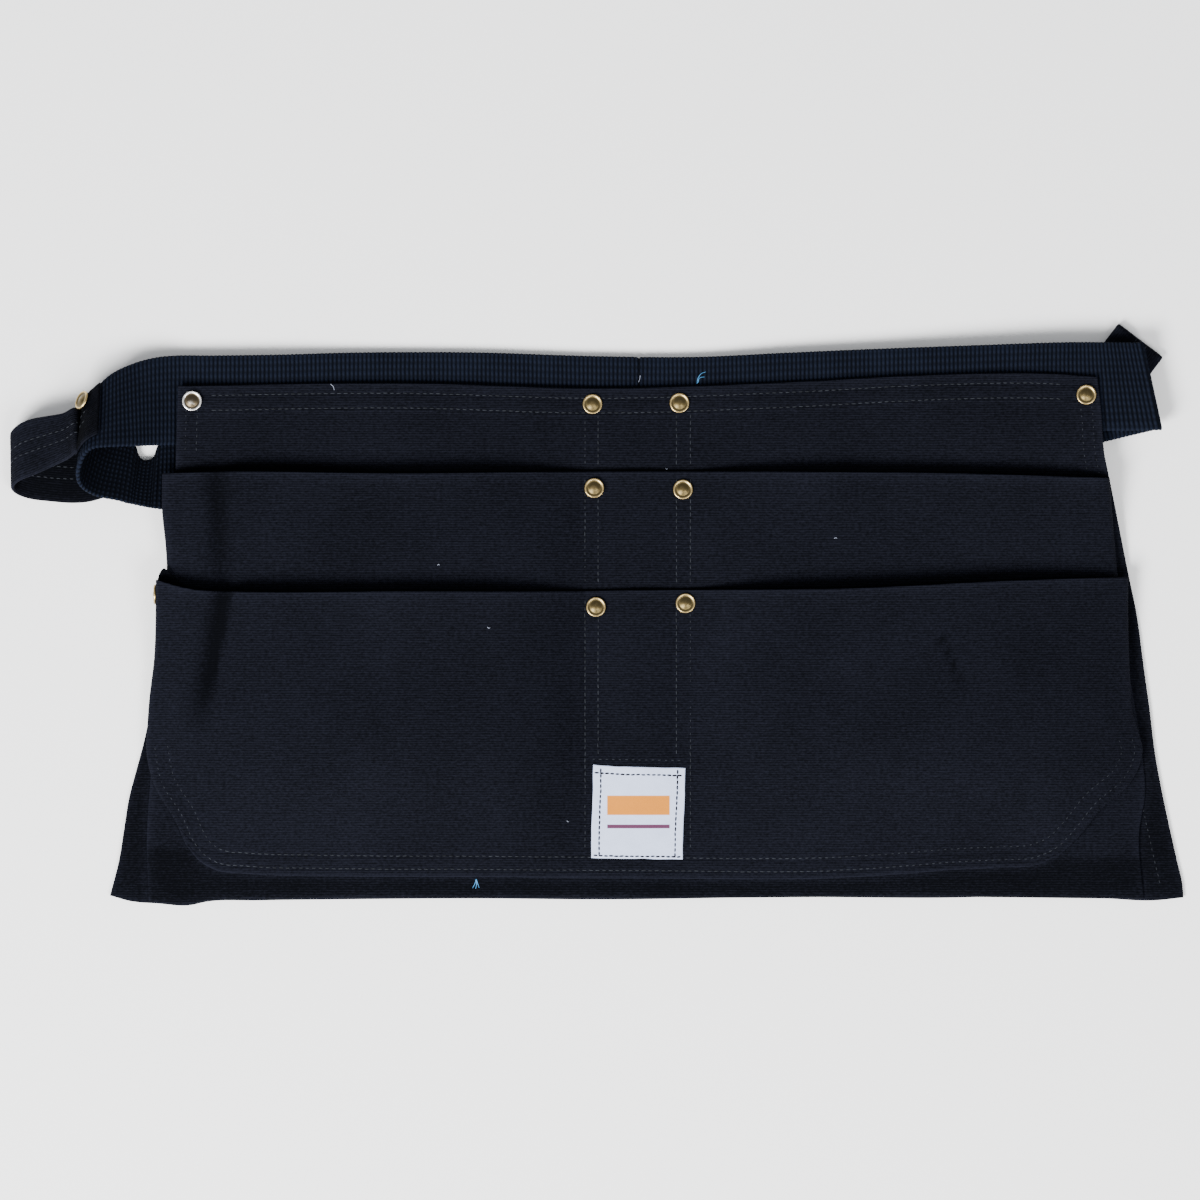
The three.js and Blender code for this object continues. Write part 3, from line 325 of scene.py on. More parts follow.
# Crumples: height, wavelength and the seed of the noise
CRUMPLES = {
    "panel": [(0.25, 55, 1.0)],
    "upper": [(0.8, 90, 5.0), (0.3, 35, 9.0)],
    "lower": [(0.9, 100, 15.0), (0.3, 40, 19.0)],
    "label": [(0.12, 12, 33.0)],
    "label edge": [(0.25, 6, 41.0)],
}

# Where along its line a fold sets in and fades out, as shares of the line
FOLD_FADE_IN = (-0.08, 0.05)
FOLD_FADE_OUT = (0.55, 1.05)
# Painted shade: shade is how much darker the colour is painted than on open cloth, and reaches are
# millimetres: first a painted shadow behind a mouth, which gapes most at GAPE_X
MOUTH_SHADE = 1.8
MOUTH_REACH = 0.8
MOUTH_FRONT = 6
GAPE_X = -160
GAPE_WIDTH = 55
PANEL_GAPE = 2.6
UPPER_GAPE = 0.3
# Then painted shade on the panel beside the pockets and a painted shadow on the upper pocket below the lower
# one
BESIDE_SHADE = 0.6
BESIDE_REACH = (-1, 5)
BESIDE_TOP = (60, 70)
BELOW_SHADE = 0.7
BELOW_REACH = (-4, 0)
# Then painted shade on the faces that look into the hollow of the belt's turn or of the left loop, and at a
# loop's sewn end
HOLLOW_SHADE = 1.0
HOLLOW_REACH = (42, 60)
BELT_HOLLOW = (-233.6, 69.7, 13)
LOOP_HOLLOW = (-273.6, 72, 15)
LOOP_END_SHADE = 0.7
LOOP_END = (14, 20)

# The label, millimetres: its thickness, its yarns and its two bands, whose heights count from its middle and
# whose colours run from the valleys of the weave to its crests
LABEL_THICKNESS = 0.7
LABEL_CLEARANCE = 0.15
LABEL_STEP = 1.1
FRAY_REACH = 2
PICK_PITCH = 0.55
END_PITCH = 0.4
OCHRE_RISE = 3
WINE_RISE = -7.6
BANDS_X = 20.6
OCHRE = ((0.4, 0.13, 0.003), (0.58, 0.2, 0.005))
WINE = ((0.05, 0.008, 0.03), (0.09, 0.018, 0.06))

# Colours of the threads that the trim's settings leave out, and of worn brass and both recesses
THREAD_COLOURS = {
    "dark_thread": (0.006, 0.005, 0.007),
    "blue_thread": (0.05, 0.17, 0.33),
    "pale_thread": (0.22, 0.24, 0.3),
}
BRASS_RECESS = (0.085, 0.064, 0.028)
WORN_BRASS = (0.86, 0.84, 0.82)
WORN_RECESS = (0.07, 0.055, 0.035)

# The stage: metres and watts, but for the camera's target in millimetres
CAMERA_TARGET = (1.36, 7.21, 10)
LIGHTS = table(
    "name place size power",
    ("key", (-1.5, -1.6, 2.0), 1.3, 270), ("fill", (1.1, -1.4, 2.0), 1.3, 70),
)
SKY_COLOUR = (0.95, 0.97, 1, 1)
SKY_STRENGTH = 0.7

# The belt's join seam, millimetres
JOIN_X = 20.8
JOIN_WIDTH = 0.7
JOIN_SHADE = 2.0
JOIN_NOTCH = 0.7

# The belt's and the loops' edges, millimetres: the strip with close mesh lines, the round, and the least
# share of the thickness left at the very edge
BELT_EDGE = {"strip": 1.6, "round": 1.3, "least": 0.1}
LOOP_EDGE = {"strip": 1.4, "round": 1.0, "least": 0.12}
STRAP_EDGE_REACH = 1.5
LOOP_STEP = 1.2
# The ribs' relief, as a share of the belt's thickness and as millimetres at its edges
RIB_RELIEF = 0.07
RIB_EDGE = 0.14

# Loose thread tails and lint, millimetres
LOOSE_THREADS = {
    "thread_tails": {
        "finish": "blue_thread",
        "radius": 0.2,
        "lines": [
            [(49.9, 115.4), (50.6, 118.6), (52.2, 120.6), (54.4, 121.4)],
            [(50.4, 116.0), (51.2, 118.4), (53.8, 118.9)],
            [(-60.6, -132.4), (-61.2, -134.6), (-62.4, -137.0)],
            [(-60.6, -132.4), (-60.4, -135.0), (-60.9, -137.3)],
            [(-60.6, -132.4), (-60.0, -134.4), (-59.2, -136.8)],
        ],
    },
    "pale_threads": {
        "finish": "pale_thread",
        "radius": 0.17,
        "lines": [
            [(21.5, 119.6), (21.3, 118.0), (20.6, 116.2)],
            [(-133.4, 115.2), (-132.2, 114.2), (-131.6, 112.2)],
            [(-54.8, -6.4), (-54.0, -6.8), (-53.4, -6.6)],
            [(-15.2, -103.2), (-14.8, -103.8), (-14.2, -103.6)],
            [(34.2, 73.0), (34.7, 72.6), (35.2, 72.9)],
            [(-79.8, 24.6), (-79.2, 25.0), (-78.8, 24.6)],
            [(118.4, 38.0), (119.2, 38.3), (119.8, 38.0)],
        ],
    },
}


# Settings that a user would change


class ApronCloth(bpy.types.PropertyGroup):
    """Sizes and colours of the duck cloth."""

    ply: bpy.props.FloatProperty(
        name="Ply", description="Thickness of the duck", default=1.2 * MM, unit="LENGTH")
    step: bpy.props.FloatProperty(
        name="Mesh step", description="Spacing of the sheet's mesh lines", default=2.8 * MM, unit="LENGTH")
    weft_pitch: bpy.props.FloatProperty(
        name="Weft pitch", description="Distance from one crosswise yarn to the next", default=1.2 * MM,
        unit="LENGTH")
    colour: bpy.props.FloatVectorProperty(
        name="Colour", description="Colour of the cloth", default=(0.0007, 0.0009, 0.0017), size=3,
        subtype="COLOR")
    worn_colour: bpy.props.FloatVectorProperty(
        name="Worn colour", description="Colour where folds and edges have rubbed",
        default=(0.0063, 0.007, 0.0118), size=3, subtype="COLOR")


class ApronWebbing(bpy.types.PropertyGroup):
    """Weave and colours of the belt."""

    rib_pitch: bpy.props.FloatProperty(
        name="Rib pitch", description="Distance from one rib across the belt to the next",
        default=2.13 * MM, unit="LENGTH")
    row_pitch: bpy.props.FloatProperty(
        name="Row pitch", description="Distance from one row of floats to the next", default=3.4 * MM,
        unit="LENGTH")
    colour: bpy.props.FloatVectorProperty(
        name="Colour", description="Colour between the ribs", default=(0.0009, 0.0013, 0.0028), size=3,
        subtype="COLOR")
    # The crest colour is the ribs' colour with a painted highlight on their crests
    crest_highlight_colour: bpy.props.FloatVectorProperty(
        name="Crest colour", description="Colour on the ribs", default=(0.0048, 0.0068, 0.0138), size=3,
        subtype="COLOR")


class ApronTrim(bpy.types.PropertyGroup):
    """Rivets, label and thread."""

    cap_radius: bpy.props.FloatProperty(
        name="Cap radius", description="Radius of a rivet's cap", default=5 * MM, unit="LENGTH")
    stitch_pitch: bpy.props.FloatProperty(
        name="Stitch pitch", description="Distance from one stitch to the next", default=3.3 * MM,
        unit="LENGTH")
    brass_colour: bpy.props.FloatVectorProperty(
        name="Brass", description="Colour of a rivet's rim", default=(0.42, 0.31, 0.14), size=3,
        subtype="COLOR")
    thread_colour: bpy.props.FloatVectorProperty(
        name="Thread", description="Colour of the sewing thread", default=(0.0145, 0.0165, 0.021), size=3,
        subtype="COLOR")
    label_colour: bpy.props.FloatVectorProperty(
        name="Label", description="Ground colour of the woven label", default=(0.52, 0.59, 0.8), size=3,
        subtype="COLOR")


class ApronStage(bpy.types.PropertyGroup):
    """Floor, light and camera."""

    floor_colour: bpy.props.FloatVectorProperty(
        name="Floor", description="Colour of the floor", default=(0.9, 0.9, 0.9), size=3, subtype="COLOR")
    camera_height: bpy.props.FloatProperty(
        name="Camera height", description="Height of the camera above the apron", default=5.0, unit="LENGTH")
    frame_width: bpy.props.FloatProperty(
        name="Frame width", description="Width that the camera sees at the apron", default=0.6,
        unit="LENGTH")


# Shader maths


class Value:
    """A shader socket that adds, scales and compares as a number does."""

    def __init__(self, finish, socket):
        self.finish = finish
        self.socket = socket

    def maths(self, operation, *values):
        return self.finish.node("ShaderNodeMath", {"operation": operation}, dict(enumerate(values)))

    def __add__(self, other):
        return self.maths("ADD", self, other)

    def __sub__(self, other):
        return self.maths("SUBTRACT", self, other)

    def __rsub__(self, other):
        return self.maths("SUBTRACT", other, self)

    def __mul__(self, other):
        return self.maths("MULTIPLY", self, other)

    def __truediv__(self, other):
        return self.maths("DIVIDE", self, other)

    def __pow__(self, other):
        return self.maths("POWER", self, other)

    __radd__ = __add__
    __rmul__ = __mul__

    def sine(self):
        return self.maths("SINE", self)

    def wave(self):
        """From 0 to 1 and back in each turn."""
        return 0.5 + 0.5 * self.sine()

    def floor(self):
        return self.maths("FLOOR", self)

    def size(self):
        return self.maths("ABSOLUTE", self)

    def band(self, low, high):
        """0 below low, 1 above high, smooth between."""
        return self.finish.node(
            "ShaderNodeMapRange",
            {"interpolation_type": "SMOOTHSTEP"},
            {"Value": self, "From Min": low, "From Max": high},
        )


class Finish:
    """One procedural material and the nodes that make it."""

    def __init__(self, name, **constants):
        self.material = bpy.data.materials.new(name)
        self.material.use_nodes = True
        self.tree = self.material.node_tree
        self.shader = self.tree.nodes["Principled BSDF"]
        for socket, value in constants.items():
            self.shader.inputs[socket.replace("_", " ")].default_value = value

    def node(self, kind, settings=None, inputs=None, output=0):
        made = self.tree.nodes.new(kind)
        for key, value in (settings or {}).items():
            setattr(made, key, value)
        for key, value in (inputs or {}).items():
            if isinstance(value, Value):
                self.tree.links.new(value.socket, made.inputs[key])
            else:
                made.inputs[key].default_value = value
        return Value(self, made.outputs[output])

    def on_object(self):
        return self.node("ShaderNodeTexCoord", output=3)

    def uv(self):
        """The sheet's own coordinates, in metres along and across the cloth."""
        place = self.node("ShaderNodeUVMap", {"uv_map": "cloth"})
        return place, *(self.node("ShaderNodeSeparateXYZ", None, {0: place}, output=i) for i in (0, 1))

    def mapped(self, place, scale):
        return self.node("ShaderNodeMapping", None, {"Vector": place, "Scale": scale})

    def grain(self, place, scale, detail=2, roughness=0.5):
        return self.node(
            "ShaderNodeTexNoise", None,
            {"Vector": place, "Scale": scale, "Detail": detail, "Roughness": roughness},
        )

    def attribute(self, name):
        return self.node("ShaderNodeAttribute", {"attribute_name": name}, output=2)

    def mix(self, factor, first, second):
        first, second = (
            (*colour, 1) if not isinstance(colour, Value) else colour for colour in (first, second))
        return self.node(
            "ShaderNodeMix", {"data_type": "RGBA"}, {0: factor, 6: first, 7: second}, output=2)

    def bump(self, height, distance, strength=1.0):
        return self.node(
            "ShaderNodeBump", None, {"Height": height, "Distance": distance, "Strength": strength})

    def feed(self, **links):
        for socket, value in links.items():
            self.tree.links.new(value.socket, self.shader.inputs[socket.replace("_", " ")])
        return self.material


def duck_finish(cloth):
    finish = Finish("cotton_duck", Specular_IOR_Level=0.035)
    place, along, up = finish.uv()
    weft = up / cloth.weft_pitch
    sway = finish.grain(finish.mapped(place, (60, 260, 1)), 1.0, detail=3)
    line = weft + 0.7 * sway
    rib = (line * math.tau).wave()
    warp = along / (0.62 * cloth.weft_pitch) + 0.5 * line.floor()
    float_over = (warp * math.tau).wave()
    slub = finish.grain(finish.mapped(place, (130, 640, 1)), 1.0, detail=3, roughness=0.65)
    fleck = finish.grain(finish.mapped(place, (560, 1000, 1)), 1.0, detail=2, roughness=0.6)
    cloud = finish.grain(place, 22.0, detail=4, roughness=0.55)
    # The attribute read here carries real rubbing along the edges and painted shade: shadows behind the
    # mouths, in the folds, beside and under the pockets, in the hollows of the turns and on the pocket's
    # folded side. Strap edges also get a painted highlight.
    wear = finish.attribute("wear")
    grain = 0.7 * (slub - 0.5) + 1.5 * (fleck - 0.5) + 0.45 * (cloud - 0.5)
    light = 0.34 * rib + 0.14 * float_over + 0.12 + grain
    shade = (light + 0.5 * wear).band(-0.25, 1.15)
    colour = finish.mix(shade, cloth.colour, cloth.worn_colour)
    height = 0.6 * rib + 0.28 * float_over + 0.5 * slub + 0.4 * fleck
    return finish.feed(
        Base_Color=colour,
        Roughness=0.82 + 0.12 * slub,
        Normal=finish.bump(height, 0.3 * MM, 0.8),
    )


def webbing_finish(webbing):
    finish = Finish("navy_webbing", Specular_IOR_Level=0.04)
    place, along, across = finish.uv()
    sway = finish.grain(place, 130.0, detail=2)
    crest = (along / webbing.rib_pitch * math.tau + 1.1 * sway).wave()
    tuft = (across / webbing.row_pitch * math.tau + 0.8 * sway).wave()
    fuzz = finish.grain(place, 2300.0, detail=2)
    patch = finish.grain(place, 60.0, detail=3)
    # The ribs' relief lightens the colour as a painted highlight on their crests
    relief = crest ** 0.6 * (0.55 + 0.45 * tuft)
    # The attribute adds lighter edges, partly rubbed and partly painted highlight, and painted shade in the
    # turn's hollow
    wear = finish.attribute("wear")
    shade = (1.1 * relief + 0.6 * (fuzz - 0.5) + 0.5 * (patch - 0.5) + 0.4 * wear).band(0.05, 1.05)
    return finish.feed(
        Base_Color=finish.mix(shade, webbing.colour, webbing.crest_highlight_colour),
        Roughness=0.75 + 0.18 * fuzz,
        Normal=finish.bump(relief + 0.3 * fuzz, 0.55 * MM, 0.9),
    )


def thread_finish(name, colour):
    finish = Finish(name, Sheen_Weight=0.01, Specular_IOR_Level=0.1)
    place = finish.on_object()
    twist = finish.grain(place, 2600.0, detail=2)
    patch = finish.grain(place, 90.0, detail=2)
    shade = (0.6 * twist + 0.7 * patch).band(0.35, 0.95)
    dark = tuple(0.45 * part for part in colour)
    light = tuple(1.7 * part for part in colour)
    return finish.feed(
        Base_Color=finish.mix(shade, dark, light),
        Roughness=0.6 + 0.2 * twist,
        Normal=finish.bump(twist, 0.15 * MM, 0.6),
    )


def brass_finish(name, rim, recess_colour):
    finish = Finish(name, Metallic=1.0)
    place = finish.on_object()
    recess = finish.attribute("recess")
    tarnish = finish.grain(place, 420.0, detail=4, roughness=0.65)
    scratch = finish.grain(finish.mapped(place, (2600, 500, 900)), 1.0, detail=2)
    shade = (recess + 0.8 * (tarnish - 0.5)).band(0.15, 0.85)
    return finish.feed(
        Base_Color=finish.mix(shade, rim, recess_colour),
        Roughness=(0.2 + 0.22 * tarnish + 0.1 * recess),
        Normal=finish.bump(scratch + tarnish, 0.06 * MM, 0.35),
    )


def label_finish(trim):
    finish = Finish("label_weave", Sheen_Weight=0.1, Specular_IOR_Level=0.35)
    place, along, up = finish.uv()
    pick = up / (PICK_PITCH * MM) * math.tau
    end = along / (END_PITCH * MM) * math.tau
    weave = 0.5 + 0.3 * pick.sine() + 0.2 * end.sine()
    cloud = finish.grain(place, 160.0, detail=3)
    middle = 0.5 * (LABEL_SIDES["top"][0][1] + LABEL_SIDES["bottom"][0][1]) * MM
    from_middle = up - middle
    wide = 1 - (from_middle - OCHRE_RISE * MM).size().band(4.6 * MM, 5.1 * MM)
    narrow = 1 - (from_middle - WINE_RISE * MM).size().band(0.75 * MM, 1.15 * MM)
    inside = 1 - (along - BANDS_X * MM).size().band(15.4 * MM, 15.9 * MM)
    shaded = tuple(0.72 * part for part in trim.label_colour)
    ground = finish.mix(0.6 * weave + 0.5 * cloud, shaded, trim.label_colour)
    ochre = finish.mix(0.6 * weave + 0.4 * cloud, *OCHRE)
    wine = finish.mix(weave, *WINE)
    banded = finish.mix(wide * inside, ground, ochre)
    banded = finish.mix(narrow * inside, banded, wine)
    return finish.feed(
        Base_Color=banded,
        Roughness=0.7 + 0.15 * cloud,
        Normal=finish.bump(weave, 0.12 * MM, 0.6),
    )


def moulded_finish():
    finish = Finish("moulded", Specular_IOR_Level=0.45)
    place = finish.on_object()
    grain = finish.grain(place, 1400.0, detail=3)
    cloud = finish.grain(place, 70.0, detail=3)
    return finish.feed(
        Base_Color=finish.mix(cloud, (0.006, 0.007, 0.008), (0.014, 0.015, 0.018)),
        Roughness=0.42 + 0.2 * cloud,
        Normal=finish.bump(grain, 0.08 * MM, 0.5),
    )


def floor_finish(colour):
    finish = Finish("floor", Roughness=0.9, Specular_IOR_Level=0.1)
    place = finish.on_object()
    cloud = finish.grain(place, 1.5, detail=2)
    return finish.feed(Base_Color=finish.mix(cloud, tuple(0.985 * part for part in colour), colour))


# Lines, grids and closed sheets


class SmoothLine:
    """A smooth line through a short table of points, read at shares of its length."""

    def __init__(self, points):
        self.points = np.array(points, float)
        self.at = lengths_along(self.points)
        self.length = self.at[-1]
        steps = np.diff(self.at)
        slopes = np.diff(self.points, axis=0) / steps[:, None]
        before, after = steps[:-1, None], steps[1:, None]
        inner = (slopes[:-1] * after + slopes[1:] * before) / (before + after)
        self.tangents = np.vstack([slopes[:1], inner, slopes[-1:]])

    def __call__(self, shares):
        place = np.clip(shares, 0, 1) * self.length
        low = np.clip(np.searchsorted(self.at, place, side="right") - 1, 0, len(self.at) - 2)
        span = (self.at[low + 1] - self.at[low])[:, None]
        t = (place - self.at[low])[:, None] / span
        a, b = self.points[low], self.points[low + 1]
        m, n = self.tangents[low] * span, self.tangents[low + 1] * span
        return (
            (2 * t**3 - 3 * t**2 + 1) * a + (t**3 - 2 * t**2 + t) * m
            + (3 * t**2 - 2 * t**3) * b + (t**3 - t**2) * n
        )


def unit(vectors):
    return vectors / np.maximum(np.linalg.norm(vectors, axis=-1, keepdims=True), 1e-12)


def lengths_along(points):
    """How far along a line of points each of them lies."""
    return np.concatenate([[0], np.cumsum(np.linalg.norm(np.diff(points, axis=0), axis=1))])


def read_at(places, lengths, values):
    """Rows of values read between their lengths along a line."""
    return np.stack([np.interp(places, lengths, column) for column in values.T], axis=-1)


def bell(distance, width):
    return np.exp(-((distance / width) ** 2))


def ease(low, high, value):
    share = np.clip((value - low) / (high - low), 0, 1)
    return share * share * (3 - 2 * share)


def past_limits(limits, distance):
    """0 short of the first limit, in millimetres, and 1 beyond the second."""
    return ease(limits[0] * MM, limits[1] * MM, distance)


def mesh_lines(length, step, from_low, from_high, middle=()):
    """Shares along a side: evenly stepped, with close lines round each mark."""
    spread = [-1.3 * MM, -0.65 * MM, 0, 0.65 * MM, 1.3 * MM]
    edge = [0, 0.12 * MM, 0.35 * MM, 0.75 * MM, 1.4 * MM, 2.2 * MM]
    fine = [*edge, *(length - place for place in edge)]
    fine += [mark + part for mark in from_low for part in spread]
    fine += [length - mark + part for mark in from_high for part in spread]
    fine += [mark + part for mark in middle for part in spread]
    fine = sorted(place for place in fine if 0 <= place <= length)
    kept = [place for place in np.linspace(0, length, round(length / step) + 1)
            if min(abs(place - other) for other in fine) > 0.45 * step]
    places = sorted({round(place, 6) for place in [*fine, *kept]})
    close = 0.1 * MM
    picked = [places[0]]
    for place in places[1:]:
        if place - picked[-1] > close:
            picked.append(place)
    picked[-1] = length
    return np.array(picked) / length


class Patch:
    """Grid of places inside four side lines, with each place's distance from every side."""

    def __init__(self, sides, step, marks):
        lines = {side: SmoothLine(np.array(points) * MM) for side, points in sides.items()}
        width = 0.5 * (lines["top"].length + lines["bottom"].length)
        height = 0.5 * (lines["left"].length + lines["right"].length)
        middle = [mark * MM - lines["bottom"].points[0][0] for mark in marks.get("middle", ())]
        scaled = {side: [mark * MM for mark in marks.get(side, ())] for side in lines}
        across = mesh_lines(width, step, scaled["left"], scaled["right"], middle)
        up = mesh_lines(height, step, scaled["bottom"], scaled["top"])
        u, v = across[None, :, None], up[:, None, None]
        bottom, top = lines["bottom"](across)[None], lines["top"](across)[None]
        left, right = lines["left"](up)[:, None], lines["right"](up)[:, None]
        corners = (
            (1 - u) * (1 - v) * bottom[:, :1] + u * (1 - v) * bottom[:, -1:]
            + (1 - u) * v * top[:, :1] + u * v * top[:, -1:]
        )
        self.places = (1 - v) * bottom + v * top + (1 - u) * left + u * right - corners
        self.x, self.y = self.places[..., 0], self.places[..., 1]
        edges = {"left": left, "right": right, "bottom": bottom, "top": top}
        self.from_side = {side: np.linalg.norm(self.places - edge, axis=2) for side, edge in edges.items()}

    def from_edge(self):
        return np.minimum.reduce(list(self.from_side.values()))


def grid_normals(grid):
    return unit(np.cross(np.gradient(grid, axis=1), np.gradient(grid, axis=0)))


def closed_sheet(over, under):
    """Points and faces of a closed body between two grids of the same size, over on the side it faces."""
    rows, columns = over.shape[:2]
    points = np.concatenate([under.reshape(-1, 3), over.reshape(-1, 3)])
    index = np.arange(rows * columns).reshape(rows, columns)
    a, b, c, d = index[:-1, :-1], index[:-1, 1:], index[1:, 1:], index[1:, :-1]
    count = rows * columns
    faces = [
        np.stack([a, b, c, d], axis=-1).reshape(-1, 4) + count,
        np.stack([a, d, c, b], axis=-1).reshape(-1, 4),
    ]
    for edge in (index[0], index[:, -1], index[-1][::-1], index[:, 0][::-1]):
        faces.append(np.stack([edge[:-1], edge[1:], edge[1:] + count, edge[:-1] + count], axis=-1))
    return points, np.concatenate(faces)


def make_piece(name, points, faces, finish, uv=None, **attributes):
    """A mesh object with its place in its mesh, smooth shaded."""
    mesh = bpy.data.meshes.new(name)
    mesh.from_pydata(points.tolist(), [], faces.tolist() if isinstance(faces, np.ndarray) else faces)
    mesh.shade_smooth()
    if uv is not None:
        corners = np.zeros(len(mesh.loops), np.int32)
        mesh.loops.foreach_get("vertex_index", corners)
        layer = mesh.uv_layers.new(name="cloth")
        layer.data.foreach_set("uv", uv[corners].astype(np.float32).ravel())
    for key, values in attributes.items():
        attribute = mesh.attributes.new(key, "FLOAT", "POINT")
        attribute.data.foreach_set("value", np.asarray(values, np.float32).ravel())
    mesh.materials.append(bpy.data.materials[finish])
    mesh.update()
    piece = bpy.data.objects.new(name, mesh)
    bpy.context.scene.collection.objects.link(piece)
    return piece


def dress(piece, slot, *nodes):
    """The piece rides on the apron and stands for its solids; slot is not used."""
    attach(piece, "root")
    if nodes:
        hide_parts(*nodes)
    return piece


# Heights of the cloth layers, read from the construction


class Layers:
    """Smoothed tops of the panel and the pockets, each lying clear of the one beneath it."""

    CELL = 4 * MM
    MARGIN = 10 * MM
    LEAST = 1.6 * MM

    def __init__(self):
        low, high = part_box("back_panel")
        self.xs = np.arange(low.x - self.MARGIN, high.x + self.MARGIN, self.CELL)
        self.ys = np.arange(low.y - self.MARGIN, high.y + self.MARGIN, self.CELL)
        panel = self.spread(self.top_of("back_panel"))
        upper = self.spread(self.top_of("upper_pocket") - panel)
        lower = self.spread(self.top_of("lower_pocket") - panel - upper)
        self.fields = {
            "panel": self.blur(panel, 5),
            "upper": self.blur(np.maximum(upper, self.LEAST), 4),
            "lower": self.blur(np.maximum(lower, self.LEAST), 4),
        }

    def top_of(self, node):
        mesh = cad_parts[node].data
        tree = BVHTree.FromPolygons([v.co for v in mesh.vertices], [p.vertices for p in mesh.polygons])
        down = Vector((0, 0, -1))
        heights = np.full((len(self.ys), len(self.xs)), np.nan)
        for row, y in enumerate(self.ys):
            for column, x in enumerate(self.xs):
                hit = tree.ray_cast(Vector((x, y, 0.1)), down)[0]
                if hit is not None:
                    heights[row, column] = hit.z
        return heights

    @staticmethod
    def spread(heights):
        """Fills the empty places from their neighbours."""
        heights = heights.copy()
        while np.isnan(heights).any():
            padded = np.pad(heights, 1, constant_values=np.nan)
            near = np.stack([padded[:-2, 1:-1], padded[2:, 1:-1], padded[1:-1, :-2], padded[1:-1, 2:]])
            found = ~np.isnan(near)
            count = found.sum(axis=0)
            total = np.where(found, near, 0).sum(axis=0)
            fill = np.isnan(heights) & (count > 0)
            heights[fill] = total[fill] / count[fill]
        return heights

    @staticmethod
    def blur(heights, passes):
        for _ in range(passes):
            padded = np.pad(heights, 1, mode="edge")
            heights = (padded[:-2, 1:-1] + 2 * padded[1:-1, 1:-1] + padded[2:, 1:-1]) / 4
            padded = np.pad(heights, 1, mode="edge")
            heights = (padded[1:-1, :-2] + 2 * padded[1:-1, 1:-1] + padded[1:-1, 2:]) / 4
        return heights

    def read(self, name, x, y):
        across = np.clip((x - self.xs[0]) / self.CELL, 0, len(self.xs) - 1.001)
        up = np.clip((y - self.ys[0]) / self.CELL, 0, len(self.ys) - 1.001)
        column, row = across.astype(int), up.astype(int)
        u, v = across - column, up - row
        field = self.fields[name]
        return (
            (1 - u) * (1 - v) * field[row, column] + u * (1 - v) * field[row, column + 1]
            + (1 - u) * v * field[row + 1, column] + u * v * field[row + 1, column + 1]
        )


def ripple(x, y, wavelength, seed):
    """A smooth random height from -1 to 1 over the sheet."""
    flat = [noise.noise(Vector((px / wavelength, py / wavelength, seed)))
            for px, py in zip(np.ravel(x), np.ravel(y))]
    return np.array(flat).reshape(np.shape(x))


def fold_depth(x, y, folds):
    """How far a table of soft folds lowers the cloth at each place, and how much painted shade darkens it
    there.
    """
    depth, shade = np.zeros_like(x), np.zeros_like(x)
    for fold in folds:
        start, end = np.array(fold["start"]) * MM, np.array(fold["end"]) * MM
        length = np.linalg.norm(end - start)
        along = (end - start) / length
        side = np.array([-along[1], along[0]])
        reach = ((x - start[0]) * along[0] + (y - start[1]) * along[1]) / length
        off = (x - start[0]) * side[0] + (y - start[1]) * side[1]
        width = np.where(off < 0, fold["left"], fold["right"]) * MM
        dip = bell(off, width) * ease(*FOLD_FADE_IN, reach) * (1 - ease(*FOLD_FADE_OUT, reach))
        depth += fold["depth"] * MM * dip
        shade += fold["shade"] * dip
    return depth, shade


LINE_SHARES = np.linspace(0, 1, 240)


def past(x, y, points):
    """How far each place lies past a line that runs across the apron."""
    line = SmoothLine(np.array(points) * MM)(LINE_SHARES)
    return y - np.interp(x, line[:, 0], line[:, 1])


def beside(x, y, sides):
    """How far each place lies outside the left and the right side of a pocket."""
    lines = [SmoothLine(np.array(sides[side]) * MM)(LINE_SHARES) for side in ("left", "right")]
    left, right = (np.interp(y, line[:, 1], line[:, 0]) for line in lines)
    return np.maximum(left - x, x - right)


def mouth_shade(x, y, mouth, gape_left):
    """How much painted shadow darkens the cloth just behind a pocket's mouth, most where the mouth gapes at
    the left.
    """
    behind = past(x, y, mouth)
    gape = MOUTH_REACH * MM + gape_left * MM * bell(x - GAPE_X * MM, GAPE_WIDTH * MM)
    return MOUTH_SHADE * bell(np.clip(behind, 0, None), gape) * (behind > -MOUTH_FRONT * MM)


def groove(distance, mark, depth=0.28, width=0.8):
    """The dip that a row of stitches pulls into the cloth at a mark."""
    return depth * MM * bell(distance - mark * MM, width * MM)


def row_dips(distance, marks):
    return sum(groove(distance, mark) for mark in marks)


def roll(distance, radius):
    """Quarter-round rise from a seam, 0 at it and 1 past the radius."""
    share = np.clip(distance / radius, 0, 1)
    return np.sqrt(np.clip(1 - (1 - share) ** 2, 0, 1))


LAYERS = Layers()


def crumple(layer, x, y):
    return sum(height * MM * ripple(x, y, length * MM, seed) for height, length, seed in CRUMPLES[layer])


def pocket_lift(layer, x, y, folds):
    """How far a pocket's top lies over the layer beneath, with its crumples and folds where it is free."""
    lift = LAYERS.read(layer, x, y)
    free = np.clip((lift - FREE_LIFT * MM) / (FREE_RISE * MM), 0, 1)
    lift = lift + free * (crumple(layer, x, y) - fold_depth(x, y, folds)[0])
    return np.maximum(lift, LEAST_LIFT * MM)


def panel_top(x, y):
    return LAYERS.read("panel", x, y) + crumple("panel", x, y)


def upper_top(x, y):
    return panel_top(x, y) + pocket_lift("upper", x, y, UPPER_FOLDS)


def lower_top(x, y):
    return upper_top(x, y) + pocket_lift("lower", x, y, LOWER_FOLDS)


